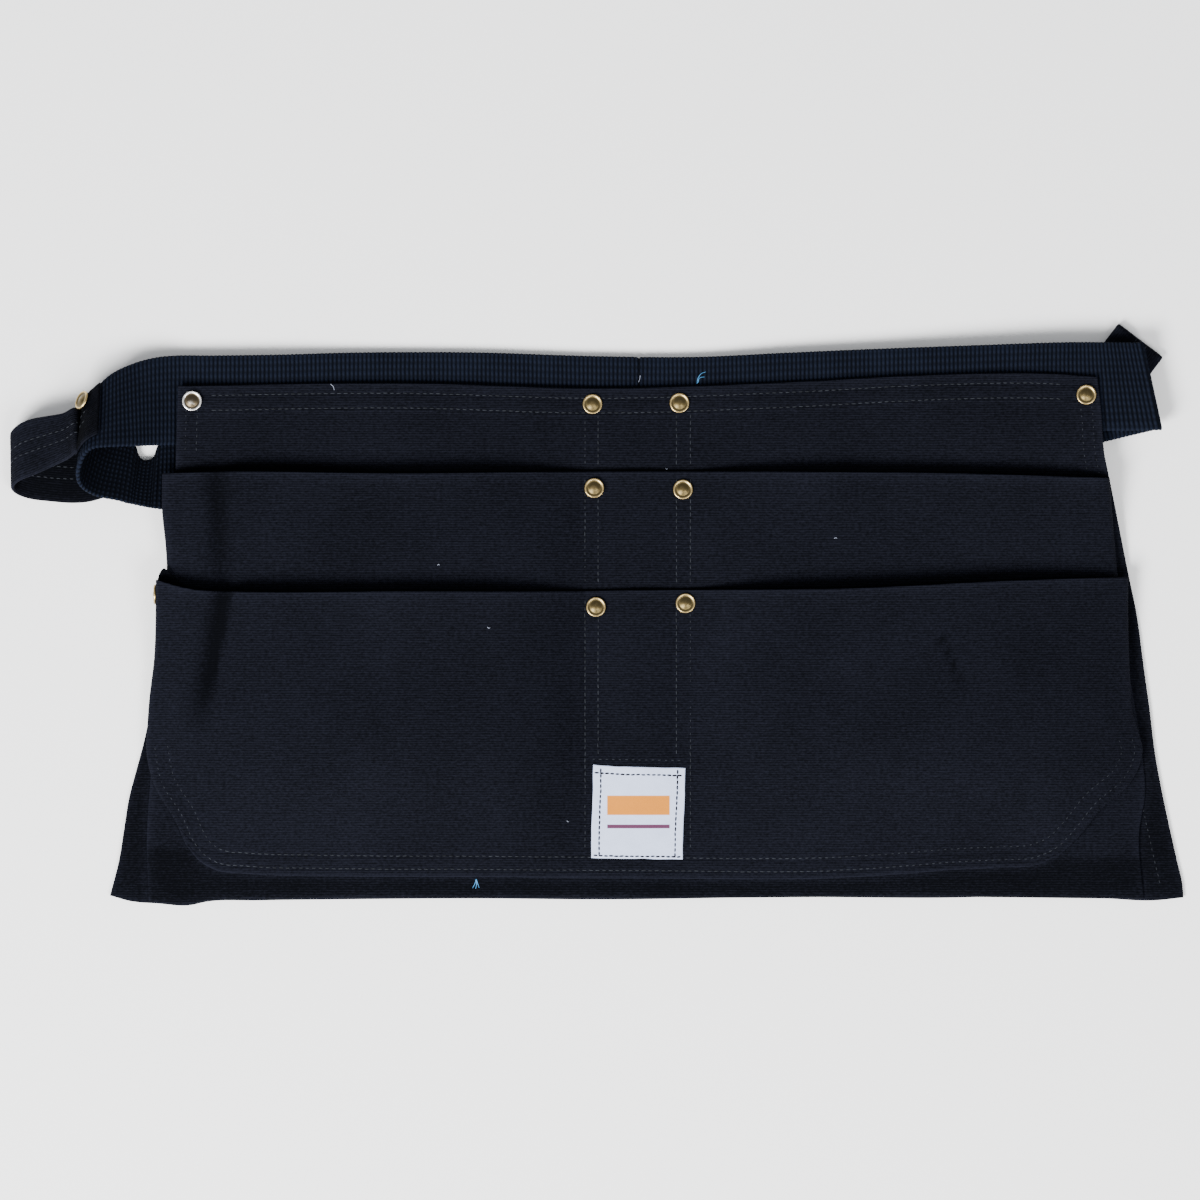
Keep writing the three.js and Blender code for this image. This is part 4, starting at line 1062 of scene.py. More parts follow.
def sew_sheet(name, patch, top, ply, wear, finish="cotton_duck"):
    """A closed sheet of cloth under the given top surface, with rounded folded edges."""
    grid = np.dstack([patch.places, top - ply / 2])
    half = ply / 2 * np.maximum(roll(patch.from_edge(), ply * EDGE_ROUND), EDGE_LEAST)
    normals = grid_normals(grid)
    over, under = grid + normals * half[..., None], grid - normals * half[..., None]
    points, faces = closed_sheet(over, under)
    uv = np.tile(patch.places.reshape(-1, 2), (2, 1))
    return make_piece(name, points, faces, finish, uv, wear=np.tile(wear.ravel(), 2))


def edge_wear(patch):
    """Rubbed cloth along the folded edges."""
    return np.exp(-patch.from_edge() / (EDGE_REACH * MM))


class APRON_OT_back_panel(bpy.types.Operator):
    """Sew the duck back panel."""

    bl_idname = "apron.back_panel"
    bl_label = "Back panel"

    def execute(self, context):
        cloth = context.scene.apron_cloth
        patch = Patch(PANEL_SIDES, cloth.step, PANEL_MARKS)
        x, y, off = patch.x, patch.y, patch.from_side
        hems = [
            1 - past_limits(hem, off[side])
            for side, hem in (("top", WAIST_HEM), ("left", SIDE_HEM), ("right", SIDE_HEM))
        ]
        top = panel_top(x, y) + HEM_RISE * MM * np.maximum.reduce(hems)
        top -= row_dips(off["top"], WAIST_ROWS) + row_dips(x, SEAM_LINES)
        # Painted shade: a shadow behind the upper pocket's mouth and shade on the panel beside the pockets
        wear = edge_wear(patch) - mouth_shade(x, y, UPPER_SIDES["top"], PANEL_GAPE)
        painted_shade_beside = past_limits(BESIDE_REACH, beside(x, y, UPPER_SIDES)) * (1 - past_limits(BESIDE_TOP, y))
        piece = sew_sheet("back_panel_duck", patch, top, cloth.ply, wear - BESIDE_SHADE * painted_shade_beside)
        dress(piece, "duck", "back_panel")
        return {"FINISHED"}


class APRON_OT_pockets(bpy.types.Operator):
    """Sew the upper and the lower pocket."""

    bl_idname = "apron.pockets"
    bl_label = "Pockets"

    def execute(self, context):
        cloth = context.scene.apron_cloth
        self.upper(cloth)
        self.lower(cloth)
        self.lower_side()
        return {"FINISHED"}

    @staticmethod
    def upper(cloth):
        patch = Patch(UPPER_SIDES, cloth.step, UPPER_MARKS)
        x, y, off = patch.x, patch.y, patch.from_side
        base = panel_top(x, y) + cloth.ply + PLY_CLEARANCE * MM
        sides = np.minimum(off["left"], off["right"])
        top = base + (upper_top(x, y) - base) * roll(sides, SIDE_WALL * MM)
        top -= row_dips(x, SEAM_LINES)
        top -= FOLD_DROP * MM * (1 - roll(off["bottom"], FOLD_ROUND * MM))
        # Painted shade: a shadow behind the lower pocket's mouth, in the folds and under the lower pocket's
        # bottom edge
        wear = edge_wear(patch) - mouth_shade(x, y, LOWER_SIDES["top"], UPPER_GAPE)
        wear -= fold_depth(x, y, UPPER_FOLDS)[1]
        wear -= BELOW_SHADE * (1 - past_limits(BELOW_REACH, past(x, y, LOWER_SIDES["bottom"])))
        piece = sew_sheet("upper_pocket_duck", patch, top, cloth.ply, wear)
        dress(piece, "duck", "upper_pocket")

    @staticmethod
    def lower(cloth):
        patch = Patch(LOWER_SIDES, cloth.step, LOWER_MARKS)
        x, y, off = patch.x, patch.y, patch.from_side
        base = upper_top(x, y) + cloth.ply + PLY_CLEARANCE * MM
        steep = (SIDE_WALL - STEEPER * past_limits(STEEP_WALL, y)) * MM
        sides = np.minimum(roll(off["left"], steep), roll(off["right"], SIDE_WALL * MM))
        top = base + (lower_top(x, y) - base) * sides
        top -= row_dips(x, SEAM_LINES) + row_dips(off["bottom"], BOTTOM_ROWS)
        # Painted shade in the folds
        wear = edge_wear(patch) - fold_depth(x, y, LOWER_FOLDS)[1]
        piece = sew_sheet("lower_pocket_duck", patch, top, cloth.ply, wear)
        dress(piece, "duck", "lower_pocket")

    @staticmethod
    def lower_side():
        """The folded side of the lower pocket, which rises towards the mouth."""
        patch = Patch(SIDE_FOLD_SIDES, SIDE_STEP * MM, {})
        x, y = patch.x, patch.y
        top = upper_top(x, y) + (SIDE_LIFT + SIDE_RISE * past_limits(SIDE_RISE_SPAN, y)) * MM
        # Painted shade: the folded side is coloured dark, as it lies in shadow under the raised lip, with a
        # painted highlight along its left rim
        wear = 1.4 * np.exp(-patch.from_side["left"] / (SIDE_PLY * MM)) - 1.1
        piece = sew_sheet("lower_pocket_side", patch, top, SIDE_PLY * MM, wear)
        dress(piece, "duck")


class APRON_OT_label(bpy.types.Operator):
    """Weave the label and lay it on the lower pocket."""

    bl_idname = "apron.label"
    bl_label = "Label"

    def execute(self, context):
        patch = Patch(LABEL_SIDES, LABEL_STEP * MM, {})
        x, y = patch.x, patch.y
        top = lower_top(x, y) + (LABEL_CLEARANCE + LABEL_THICKNESS) * MM + crumple("label", x, y)
        fray = crumple("label edge", x, y) * np.exp(-patch.from_edge() / (FRAY_REACH * MM))
        patch.places = patch.places + fray[..., None]
        piece = sew_sheet("label_woven", patch, top, LABEL_THICKNESS * MM, edge_wear(patch), "label_weave")
        dress(piece, "label", "label_patch")
        return {"FINISHED"}


# Belt and straps


def shift():
    """From the construction's own zero, at the middle of the hem, to the frame's."""
    low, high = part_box("belt_buckle")
    centre = np.array((low + high) / 2) / MM
    return np.array([centre[0] - BUCKLE[0], centre[1] - BUCKLE[1], 0])


def square_station(x, y, z, heading, width):
    across = np.array([-math.sin(heading), math.cos(heading), 0]) * width / 2
    centre = np.array([x, y, z])
    return centre + across, centre - across


def rear_right(share):
    start = BUCKLE[0] + BUCKLE_LENGTH / 2 - SOCKET_DEPTH + SEAT_GAP
    span = CREASE[0] - start
    rise = CREASE[1] - BUCKLE[1]
    left = 1 - share
    slope = (3.54 * left - 2.31 * left * left) * rise / span
    return start + span * left, BUCKLE[1] + rise * (1.77 * left**2 - 0.77 * left**3), math.atan(slope)


def crease_stations():
    radius = (FRONT_RIGHT_HIGH - REAR_RIGHT_HIGH) / 2
    middle = (FRONT_RIGHT_HIGH + REAR_RIGHT_HIGH) / 2
    for degrees in (-90, -45, 0, 45, 90):
        angle = math.radians(degrees)
        out = radius * (math.cos(angle) - 1)
        x, y = CREASE + out * np.array([math.cos(CREASE_LEAN), math.sin(CREASE_LEAN)])
        yield square_station(x, y, middle + radius * math.sin(angle), CREASE_LEAN, BELT_WIDTH)


def turn_station(row):
    return tuple(
        np.array([
            -HALF_TOP - row["out"][side] * TURN_REACH,
            FRONT_CENTRE + BELT_WIDTH * (0.5 - row["drop"][side]),
            max(row["lift"][side] * TURN_HEIGHT, FLOOR_LAYER + 0.1),
        ])
        for side in (0, 1)
    )


def belt_stations():
    """Upper and lower edge of the belt, from its right end in the buckle round to its left end."""
    x, y, _ = rear_right(1)
    stations = [
        square_station(x + off, y, BUCKLE[2], 0, BELT_WIDTH)
        for off in (0, SOCKET_DEPTH + 1, SOCKET_DEPTH + 7)
    ]
    for row in reversed(REAR_RUN):
        x, y, heading = rear_right(row["along"])
        stations.append(square_station(x, y, FLOOR_LAYER + row["lift"] * LOOP_STACK, heading, BELT_WIDTH))
    stations.extend(crease_stations())
    for row in FRONT_RUN:
        z = FRONT_LOW + row["lift"] * (FRONT_RIGHT_HIGH - FRONT_LOW)
        stations.append(square_station(
            row["along"] * HALF_TOP, FRONT_CENTRE + row["rise"] * BELT_WIDTH, z, 0, BELT_WIDTH))
    stations.extend(turn_station(row) for row in TURN)
    start = (stations[-1][0] + stations[-1][1]) / 2
    end = BUCKLE[0] - BUCKLE_LENGTH / 2 + SOCKET_DEPTH - SEAT_GAP
    for share in LEFT_REAR_RUN:
        slope = 2 * share * (start[1] - BUCKLE[1]) / (end - start[0])
        x, y = end + (start[0] - end) * share, BUCKLE[1] + (start[1] - BUCKLE[1]) * share**2
        stations.append(square_station(x, y, FLOOR_LAYER, -slope, BELT_WIDTH))
    stations.extend(
        square_station(end - off, BUCKLE[1], BUCKLE[2], 0, BELT_WIDTH)
        for off in (SOCKET_DEPTH + 7, SOCKET_DEPTH + 1, 0)
    )
    return np.array(stations)


def refine(stations, steps):
    """Stations with smooth ones between them."""
    padded = np.concatenate([stations[:1], stations, stations[-1:]])
    fine = []
    for i in range(len(stations) - 1):
        a, b, c, d = padded[i:i + 4]
        for t in np.arange(steps) / steps:
            fine.append(0.5 * (
                2 * b + (c - a) * t + (2 * a - 5 * b + 4 * c - d) * t**2 + (3 * b - a - 3 * c + d) * t**3))
    fine.append(stations[-1])
    return np.array(fine)


def station_normals(stations):
    middle = stations.sum(axis=1)
    along = np.zeros_like(middle)
    along[1:-1] = middle[2:] - middle[:-2]
    along[0], along[-1] = middle[1] - middle[0], middle[-1] - middle[-2]
    return unit(np.cross(along, stations[:, 0] - stations[:, 1]))


class Strap:
    """A strip of webbing or doubled duck through stations, evenly spaced along its length, in metres."""

    def __init__(self, stations, step, floor=None):
        fine = refine(stations, 24)
        if floor is not None:
            fine[:, :, 2] = np.maximum(fine[:, :, 2], floor)
        fine = (fine + shift()) * MM
        lengths = lengths_along(fine.mean(axis=1))
        self.at = np.linspace(0, lengths[-1], round(lengths[-1] / step) + 1)
        self.stations = read_at(self.at, lengths, fine.reshape(len(fine), 6)).reshape(-1, 2, 3)
        normals = station_normals(self.stations)
        for _ in range(3):
            normals[1:-1] = normals[:-2] + 2 * normals[1:-1] + normals[2:]
            normals = unit(normals)
        self.normals = normals

    def row(self, share, off):
        """Points at a share from the lower to the upper edge, and which way the strap faces at each."""
        upper, lower, normals = (
            values[ROW_END:-ROW_END] for values in (self.stations[:, 0], self.stations[:, 1], self.normals))
        return lower + (upper - lower) * share + normals * off, normals

    def body(self, name, finish, width, shares, half_profile, edge_out, hollow, shade):
        """Closed body: half_profile gives each point's half thickness, edge_out moves the edges sideways.

        The faces that look at the hollow, a place in millimetres, get painted shade, and what shade names is
        darker too.
        """
        lower, upper = self.stations[:, 1][:, None], self.stations[:, 0][:, None]
        across = upper - lower
        middle = lower + across * shares[None, :, None] + unit(across) * edge_out[..., None]
        off = self.normals[:, None] * half_profile[..., None]
        points, faces = closed_sheet(middle - off, middle + off)
        uv = np.stack(np.broadcast_arrays(self.at[:, None], shares[None] * width), axis=-1)
        # Lighter along both edges: partly rubbed selvage, partly a painted highlight where the edges catch
        # the light
        wear = np.exp(-from_strap_edge(shares, width) / (STRAP_EDGE_REACH * MM))[None] - shade
        # Painted shade on the faces that look into the hollow of a turn
        towards = np.array(hollow) * MM - middle
        distance = np.linalg.norm(towards, axis=2)
        facing = (towards * self.normals[:, None]).sum(axis=2) / distance
        near = HOLLOW_SHADE * (1 - past_limits(HOLLOW_REACH, distance))
        wear = np.stack([wear - near * np.clip(3 * side * facing, 0, 1) for side in (1, -1)])
        return make_piece(name, points, faces, finish, np.tile(uv.reshape(-1, 2), (2, 1)), wear=wear)


def from_strap_edge(shares, width):
    return np.minimum(shares, 1 - shares) * width


def strap_profile(width, edge):
    """Shares across a strap, each one's distance from the edge and the share of the thickness left there."""
    strip = edge["strip"] * MM
    places = [0, 0.12 * strip, 0.4 * strip, strip]
    inner = list(np.linspace(strip, width - strip, round(width / (3.2 * MM)) + 1))[1:-1]
    shares = np.array([*places, *inner, *(width - place for place in reversed(places))]) / width
    from_edge = from_strap_edge(shares, width)
    return shares, from_edge, np.maximum(roll(from_edge, edge["round"] * MM), edge["least"])


def left_loop_stations(belt):
    off = -(BELT_THICKNESS + STRAP_THICKNESS) / 2 - PLY_GAP
    turn_start = 3 * (3 + len(REAR_RUN) + 5 + len(FRONT_RUN))
    normals = station_normals(belt)
    stations = []
    for step in (11, 13, 15, 17):
        upper, lower = belt[turn_start + step]
        normal = normals[turn_start + step]
        strap = min(STRAP_WIDTH / np.linalg.norm(upper - lower), 0.94)
        stations.append((
            lower + (upper - lower) * 0.98 + normal * off,
            lower + (upper - lower) * (0.98 - strap) + normal * off,
        ))
    start = -HALF_TOP - TURN_REACH
    level = FRONT_CENTRE + BELT_WIDTH / 2 - 0.64 * STRAP_WIDTH
    for row in LEFT_LOOP:
        stations.append(tuple(
            np.array([
                start - row["out"][side] * LEFT_LOOP_REACH,
                level - row["drop"][side] * STRAP_WIDTH,
                max(row["lift"][side] * TURN_HEIGHT, STRAP_THICKNESS / 2 + 0.1),
            ])
            for side in (0, 1)
        ))
    return np.array(stations)


def right_loop_stations():
    bend = np.array([CREASE[0] - 5, CREASE[1] + 0.47 * BELT_WIDTH])
    to_ends = -np.array([math.cos(RIGHT_LOOP_TURN), math.sin(RIGHT_LOOP_TURN)])
    heading = RIGHT_LOOP_TURN - math.pi
    low = STRAP_THICKNESS / 2 + 0.1
    high = low + STRAP_THICKNESS + PLY_GAP
    radius = (high - low) / 2
    places = [(share * RIGHT_LOOP_LENGTH, high) for share in (1, 0.75, 0.5, 0.25, 0.08)]
    places += [
        (-radius * math.cos(math.radians(turn)), low + radius + radius * math.sin(math.radians(turn)))
        for turn in (60, 20, -20, -60)
    ]
    places += [(share * RIGHT_LOOP_LENGTH, low) for share in (0.08, 0.25, 0.5, 0.75, 1)]
    return np.array([
        square_station(*(bend + to_ends * distance), z, heading, STRAP_WIDTH) for distance, z in places])


def loops():
    """Each hammer loop's stations; the left one is seated on the belt's, as the construction refines them."""
    belt = refine(belt_stations(), 3)
    belt[:, :, 2] = np.maximum(belt[:, :, 2], FLOOR_LAYER)
    return {"hammer_loop_left": left_loop_stations(belt), "hammer_loop_right": right_loop_stations()}


class APRON_OT_belt(bpy.types.Operator):
    """Weave the belt round its two turns."""

    bl_idname = "apron.belt"
    bl_label = "Belt"

    def execute(self, context):
        webbing = context.scene.apron_webbing
        strap = Strap(belt_stations(), webbing.rib_pitch / 3, FLOOR_LAYER)
        width = BELT_WIDTH * MM
        shares, from_edge, edge = strap_profile(width, BELT_EDGE)
        rib = np.sin(strap.at / webbing.rib_pitch * math.tau)[:, None]
        half = BELT_THICKNESS * MM / 2 * (1 - RIB_RELIEF + RIB_RELIEF * rib) * edge
        seam = bell(strap.stations[:, :, 0].mean(axis=1) - JOIN_X * MM, JOIN_WIDTH * MM)[:, None]
        inwards = np.where(shares < 0.5, 1, -1)[None] * (RIB_EDGE * (1 - rib) + JOIN_NOTCH * seam) * MM
        edge_out = inwards * np.exp(-from_edge / (STRAP_EDGE_REACH * MM))
        piece = strap.body(
            "waist_belt_webbing", "navy_webbing", width, shares, half, edge_out, BELT_HOLLOW,
            JOIN_SHADE * seam)
        dress(piece, "webbing", "waist_belt")
        return {"FINISHED"}


class APRON_OT_hammer_loops(bpy.types.Operator):
    """Sew the two hammer loops."""

    bl_idname = "apron.hammer_loops"
    bl_label = "Hammer loops"

    def execute(self, context):
        width = STRAP_WIDTH * MM
        shares, _, edge = strap_profile(width, LOOP_EDGE)
        dips = sum(bell((shares - row) * width, 0.8 * MM) for row in STRAP_ROWS)
        profile = (STRAP_THICKNESS / 2 * edge - ROW_DIP * dips) * MM
        for node, stations in loops().items():
            strap = Strap(stations, LOOP_STEP * MM)
            half = np.tile(profile, (len(strap.at), 1))
            # Painted shade on the first stretch of each loop, its sewn end
            end = LOOP_END_SHADE * (1 - past_limits(LOOP_END, strap.at))[:, None]
            piece = strap.body(
                node + "_duck", "cotton_duck", width, shares, half, np.zeros_like(half), LOOP_HOLLOW, end)
            dress(piece, "strap", node)
        return {"FINISHED"}


def select_only(piece):
    bpy.ops.object.select_all(action="DESELECT")
    piece.select_set(True)
    bpy.context.view_layer.objects.active = piece


def add_block(place, size):
    bpy.ops.object.select_all(action="DESELECT")
    bpy.ops.mesh.primitive_cube_add(size=1, location=place)
    block = bpy.context.object
    block.dimensions = size
    bpy.ops.object.transform_apply(location=True, rotation=False, scale=True)
    return block


def edit_chosen(kind, chosen):
    """Opens the active object in edit mode with its chosen edges or faces selected."""
    bpy.ops.object.mode_set(mode="EDIT")
    bpy.ops.mesh.select_mode(type=kind)
    bpy.ops.mesh.select_all(action="DESELECT")
    bpy.ops.object.mode_set(mode="OBJECT")
    mesh = bpy.context.object.data
    for part in mesh.edges if kind == "EDGE" else mesh.polygons:
        part.select = chosen(part)
    bpy.ops.object.mode_set(mode="EDIT")


class APRON_OT_buckle(bpy.types.Operator):
    """Mould the plain buckle that closes the belt behind the panel."""

    bl_idname = "apron.buckle"
    bl_label = "Buckle"

    def execute(self, context):
        low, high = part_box("belt_buckle")
        middle = (low + high) / 2
        block = add_block(middle, high - low)
        block.name = "belt_buckle_moulded"
        edit_chosen("EDGE", lambda edge: self.rise(block, edge) > (high - low).z / 2)
        bpy.ops.mesh.bevel(offset=BUCKLE_CORNER * MM, segments=4)
        bpy.ops.object.mode_set(mode="OBJECT")
        edit_chosen("FACE", lambda face: abs(face.normal.z) > 0.9)
        bpy.ops.mesh.inset(thickness=BUCKLE_BORDER * MM, depth=0)
        bpy.ops.mesh.inset(thickness=BUCKLE_RECESS * MM, depth=-BUCKLE_RECESS * MM)
        bpy.ops.object.mode_set(mode="OBJECT")
        for x in (low.x, high.x):
            self.cut_socket(block, Vector((x, middle.y, middle.z)))
        bevel = block.modifiers.new("soft edges", "BEVEL")
        bevel.width, bevel.segments, bevel.limit_method = BUCKLE_BEVEL * MM, 2, "ANGLE"
        bpy.ops.object.modifier_apply(modifier=bevel.name)
        bpy.ops.object.shade_smooth_by_angle(angle=math.radians(35))
        block.data.materials.clear()
        block.data.materials.append(bpy.data.materials["moulded"])
        dress(block, "buckle", "belt_buckle")
        return {"FINISHED"}

    @staticmethod
    def rise(block, edge):
        ends = [block.data.vertices[i].co.z for i in edge.vertices]
        return abs(ends[0] - ends[1])

    @staticmethod
    def cut_socket(block, place):
        sides = (2 * SOCKET_DEPTH, BELT_WIDTH + 2 * SEAT_GAP, BELT_THICKNESS + 2 * SEAT_GAP)
        socket = add_block(place, Vector(sides) * MM)
        cut = block.modifiers.new("socket", "BOOLEAN")
        cut.operation, cut.object, cut.solver = "DIFFERENCE", socket, "EXACT"
        select_only(block)
        bpy.ops.object.modifier_apply(modifier=cut.name)
        bpy.data.objects.remove(socket)


class APRON_OT_rivets(bpy.types.Operator):
    """Turn the rivets, each in the place of its solid."""

    bl_idname = "apron.rivets"
    bl_label = "Rivets"

    def execute(self, context):
        for node in sorted(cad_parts):
            if node.startswith("rivet_"):
                self.turn(node, context.scene.apron_trim.cap_radius)
        return {"FINISHED"}

    def turn(self, node, cap_radius):
        seat, axis, length = self.seat_of(node)
        profile = [(row["radius"] * cap_radius, row["height"] * MM, row["recess"]) for row in CAP_PROFILE]
        low = -(length - (SOLID_CAP_HEIGHT + BURR_THICKNESS) * MM)
        foot = low - BURR_THICKNESS * MM
        profile += [
            (SHANK_RADIUS * MM, 0, 1), (SHANK_RADIUS * MM, low, 1), (BURR_RADIUS * MM, low, 0.4),
            (BURR_RADIUS * MM, foot, 0.2), (0, foot, 0.3),
        ]
        steps = [(i, i + 1) for i in range(len(profile) - 1)]
        mesh = bpy.data.meshes.new(node + "_brass")
        mesh.from_pydata([(radius, 0, height) for radius, height, _ in profile], steps, [])
        recess = mesh.attributes.new("recess", "FLOAT", "POINT")
        recess.data.foreach_set("value", [dark for _, _, dark in profile])
        rivet = bpy.data.objects.new(node + "_brass", mesh)
        bpy.context.scene.collection.objects.link(rivet)
        select_only(rivet)
        bpy.ops.object.mode_set(mode="EDIT")
        bpy.ops.mesh.select_all(action="SELECT")
        bpy.ops.mesh.spin(steps=40, angle=math.tau, center=(0, 0, 0), axis=(0, 0, 1))
        bpy.ops.mesh.select_all(action="SELECT")
        bpy.ops.mesh.remove_doubles(threshold=0.01 * MM)
        bpy.ops.mesh.normals_make_consistent(inside=False)
        bpy.ops.object.mode_set(mode="OBJECT")
        turn = Vector((0, 0, 1)).rotation_difference(axis).to_matrix().to_4x4()
        mesh.transform(Matrix.Translation(seat) @ turn)
        bpy.ops.object.shade_smooth_by_angle(angle=math.radians(50))
        mesh.materials.append(bpy.data.materials["worn_brass" if node == WORN_RIVET else "brass"])
        dress(rivet, "rivet", node)

    @staticmethod
    def seat_of(node):
        """Where the cap sits on the cloth, which way it faces and the rivet's whole length."""
        points = np.array([v.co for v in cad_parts[node].data.vertices])
        middle = points.mean(axis=0)
        spreads, ways = np.linalg.eigh(np.cov((points - middle).T))
        gaps = [abs(spreads[1] - spreads[2]), abs(spreads[0] - spreads[2]), abs(spreads[0] - spreads[1])]
        axis = ways[:, int(np.argmin(gaps))]
        along = (points - middle) @ axis
        off = np.linalg.norm((points - middle) - np.outer(along, axis), axis=1)
        if along[off > SOLID_CAP_EDGE * MM].mean() < 0:
            axis, along = -axis, -along
        seat = middle + axis * (along.max() - SOLID_CAP_HEIGHT * MM)
        return Vector(seat), Vector(axis), along.max() - along.min()


# Stitching


def stitch_shape():
    """One stitch, modelled once: an arched length of thread along X with its ends in the cloth."""
    bpy.ops.object.select_all(action="DESELECT")
    bpy.ops.mesh.primitive_uv_sphere_add(segments=6, ring_count=5, radius=0.5, rotation=(0, math.pi / 2, 0))
    stitch = bpy.context.object
    bpy.ops.object.transform_apply(location=False, rotation=True, scale=False)
    points = np.array([v.co for v in stitch.data.vertices])
    faces = [list(face.vertices) for face in stitch.data.polygons]
    bpy.data.objects.remove(stitch)
    points[:, 2] -= 0.9 * points[:, 0] ** 2
    return points, faces


def sew_rows(name, rows, pitch, seed, finish="thread", thickness=0.5 * MM, length=0.72):
    """Stitches along rows of points with the surface's direction at each, as one mesh."""
    shape, shape_faces = stitch_shape()
    chance = np.random.default_rng(seed)
    points, faces = [], []
    for places, normals in rows:
        at = lengths_along(places)
        for start in np.arange(pitch * 0.3, at[-1] - pitch * 0.7, pitch):
            middle = start + pitch * length / 2
            behind, centre, ahead = read_at([middle - pitch / 4, middle, middle + pitch / 4], at, places)
            along = unit(ahead - behind)
            side = unit(np.cross(read_at(middle, at, normals), along))
            lean = chance.normal(0, 0.06)
            along, side = along + side * lean, side - along * lean
            up = np.cross(along, side)
            scale = np.array([pitch * length * chance.uniform(0.88, 1.06), thickness, thickness * 0.85])
            local = shape * scale
            centre = centre + side * chance.normal(0, 0.05 * MM)
            base = len(shape) * len(points)
            points.append(centre + local[:, :1] * along + local[:, 1:2] * side + local[:, 2:] * up)
            faces += [[index + base for index in face] for face in shape_faces]
    return make_piece(name, np.concatenate(points), faces, finish)


def on_cloth(line, top, lift=0.05 * MM, step=1.5 * MM):
    """A row on a cloth layer: places along a smooth line in the plane, on the layer's top."""
    smooth = SmoothLine(np.array(line) * MM)
    flat = smooth(np.linspace(0, 1, max(int(smooth.length / step), 3)))
    x, y = flat[:, 0], flat[:, 1]
    gap = 1 * MM
    z = top(x, y)
    slope_x = (top(x + gap, y) - top(x - gap, y)) / (2 * gap)
    slope_y = (top(x, y + gap) - top(x, y - gap)) / (2 * gap)
    normals = unit(np.stack([-slope_x, -slope_y, np.ones_like(x)], axis=1))
    return np.stack([x, y, z + lift], axis=1), normals


def inset_line(points, distance, count=60):
    """A line at a distance to the left of the way along a table of points, in millimetres."""
    places = SmoothLine(points)(np.linspace(0, 1, count))
    ways = unit(np.gradient(places, axis=0))
    return places + np.stack([-ways[:, 1], ways[:, 0]], axis=1) * distance


def hem_top(x, y):
    return panel_top(x, y) + (HEM_RISE - HEM_SUNK) * MM


def label_top(x, y):
    return lower_top(x, y) + (LABEL_CLEARANCE + LABEL_THICKNESS) * MM


class APRON_OT_stitching(bpy.types.Operator):
    """Sew the rows of stitches."""

    bl_idname = "apron.stitching"
    bl_label = "Stitching"

    def execute(self, context):
        pitch = context.scene.apron_trim.stitch_pitch
        pieces = (
            ("panel", self.panel_rows(), "duck", {}),
            ("centre", self.centre_rows(), "duck", {}),
            ("lower_pocket", self.lower_rows(), "duck", {}),
            ("label", self.label_rows(), "label", LABEL_STITCH),
            ("hammer_loops", self.loop_rows(), "strap", {}),
        )
        for seed, (name, rows, slot, stitch) in enumerate(pieces, 1):
            piece = sew_rows("stitches_" + name, rows, seed=seed, **{"pitch": pitch, **stitch})
            dress(piece, slot)
        return {"FINISHED"}

    @staticmethod
    def panel_rows():
        rows = [on_cloth(inset_line(PANEL_SIDES["top"], -row)[2:-2], hem_top) for row in WAIST_ROWS]
        for side, sign in (("left", -1), ("right", 1)):
            high = [point for point in PANEL_SIDES[side] if point[1] > SIDE_ROWS_FOOT]
            for row in SIDE_ROWS:
                rows.append(on_cloth(inset_line(high, sign * row, 20)[:-4], hem_top))
        low = [point for point in PANEL_SIDES["right"] if point[1] < HEM_ROW_TOP]
        rows.append(on_cloth(inset_line(low, HEM_ROW, 20)[2:], hem_top))
        return rows

    @staticmethod
    def centre_rows():
        rows = []
        for x in SEAM_LINES:
            rows.append(on_cloth([(x, y) for y in PANEL_SEAM], panel_top, SUNK * MM))
            rows.append(on_cloth([(x, y) for y in UPPER_SEAM], upper_top, SUNK * MM))
        for x in SEAM_LINES:
            seam = LOWER_OUTER_SEAM if x in (SEAM_LINES[0], SEAM_LINES[-1]) else LOWER_INNER_SEAM
            rows.append(on_cloth([(x, y) for y in seam], lower_top, SUNK * MM))
        rows.append(on_cloth(CROSS_SEAM, lower_top, SUNK * MM))
        return rows

    @staticmethod
    def lower_rows():
        rim = LOWER_SIDES["left"][:4][::-1] + LOWER_SIDES["bottom"][1:] + LOWER_SIDES["right"][1:7]
        return [on_cloth(inset_line(rim, row, 150), lower_top, SUNK * MM) for row in BOTTOM_ROWS]

    @staticmethod
    def label_rows():
        rows = {"bottom": LABEL_BOTTOM_ROW, "top": -LABEL_ROW, "left": -LABEL_ROW, "right": LABEL_ROW}
        lines = [inset_line(LABEL_SIDES[side], row, 12) for side, row in rows.items()]
        return [on_cloth(line, label_top, 0.0) for line in lines]

    @staticmethod
    def loop_rows():
        rows = []
        for stations in loops().values():
            strap = Strap(stations, LOOP_STEP * MM)
            for share in STRAP_ROWS:
                for side in (-1, 1):
                    places, normals = strap.row(share, side * (STRAP_THICKNESS / 2 - 0.1) * MM)
                    rows.append((places, normals * side))
        return rows


def thread_body(line, radius, sides=6):
    """Points and faces of a thin closed thread along a line."""
    along = unit(np.gradient(line, axis=0))
    side = unit(np.cross(along, (0, 0, 1)))
    up = np.cross(side, along)
    turn = math.tau * np.arange(sides)[None, :, None] / sides
    taper = radius * np.linspace(1, 0.5, len(line))[:, None, None]
    rings = line[:, None] + taper * (np.cos(turn) * side[:, None] + np.sin(turn) * up[:, None])
    faces = [list(range(sides)), [(len(line) - 1) * sides + k for k in reversed(range(sides))]]
    for ring in range(len(line) - 1):
        for k in range(sides):
            a, b = ring * sides + k, ring * sides + (k + 1) % sides
            faces.append([b, a, a + sides, b + sides])
    return rings.reshape(-1, 3), faces


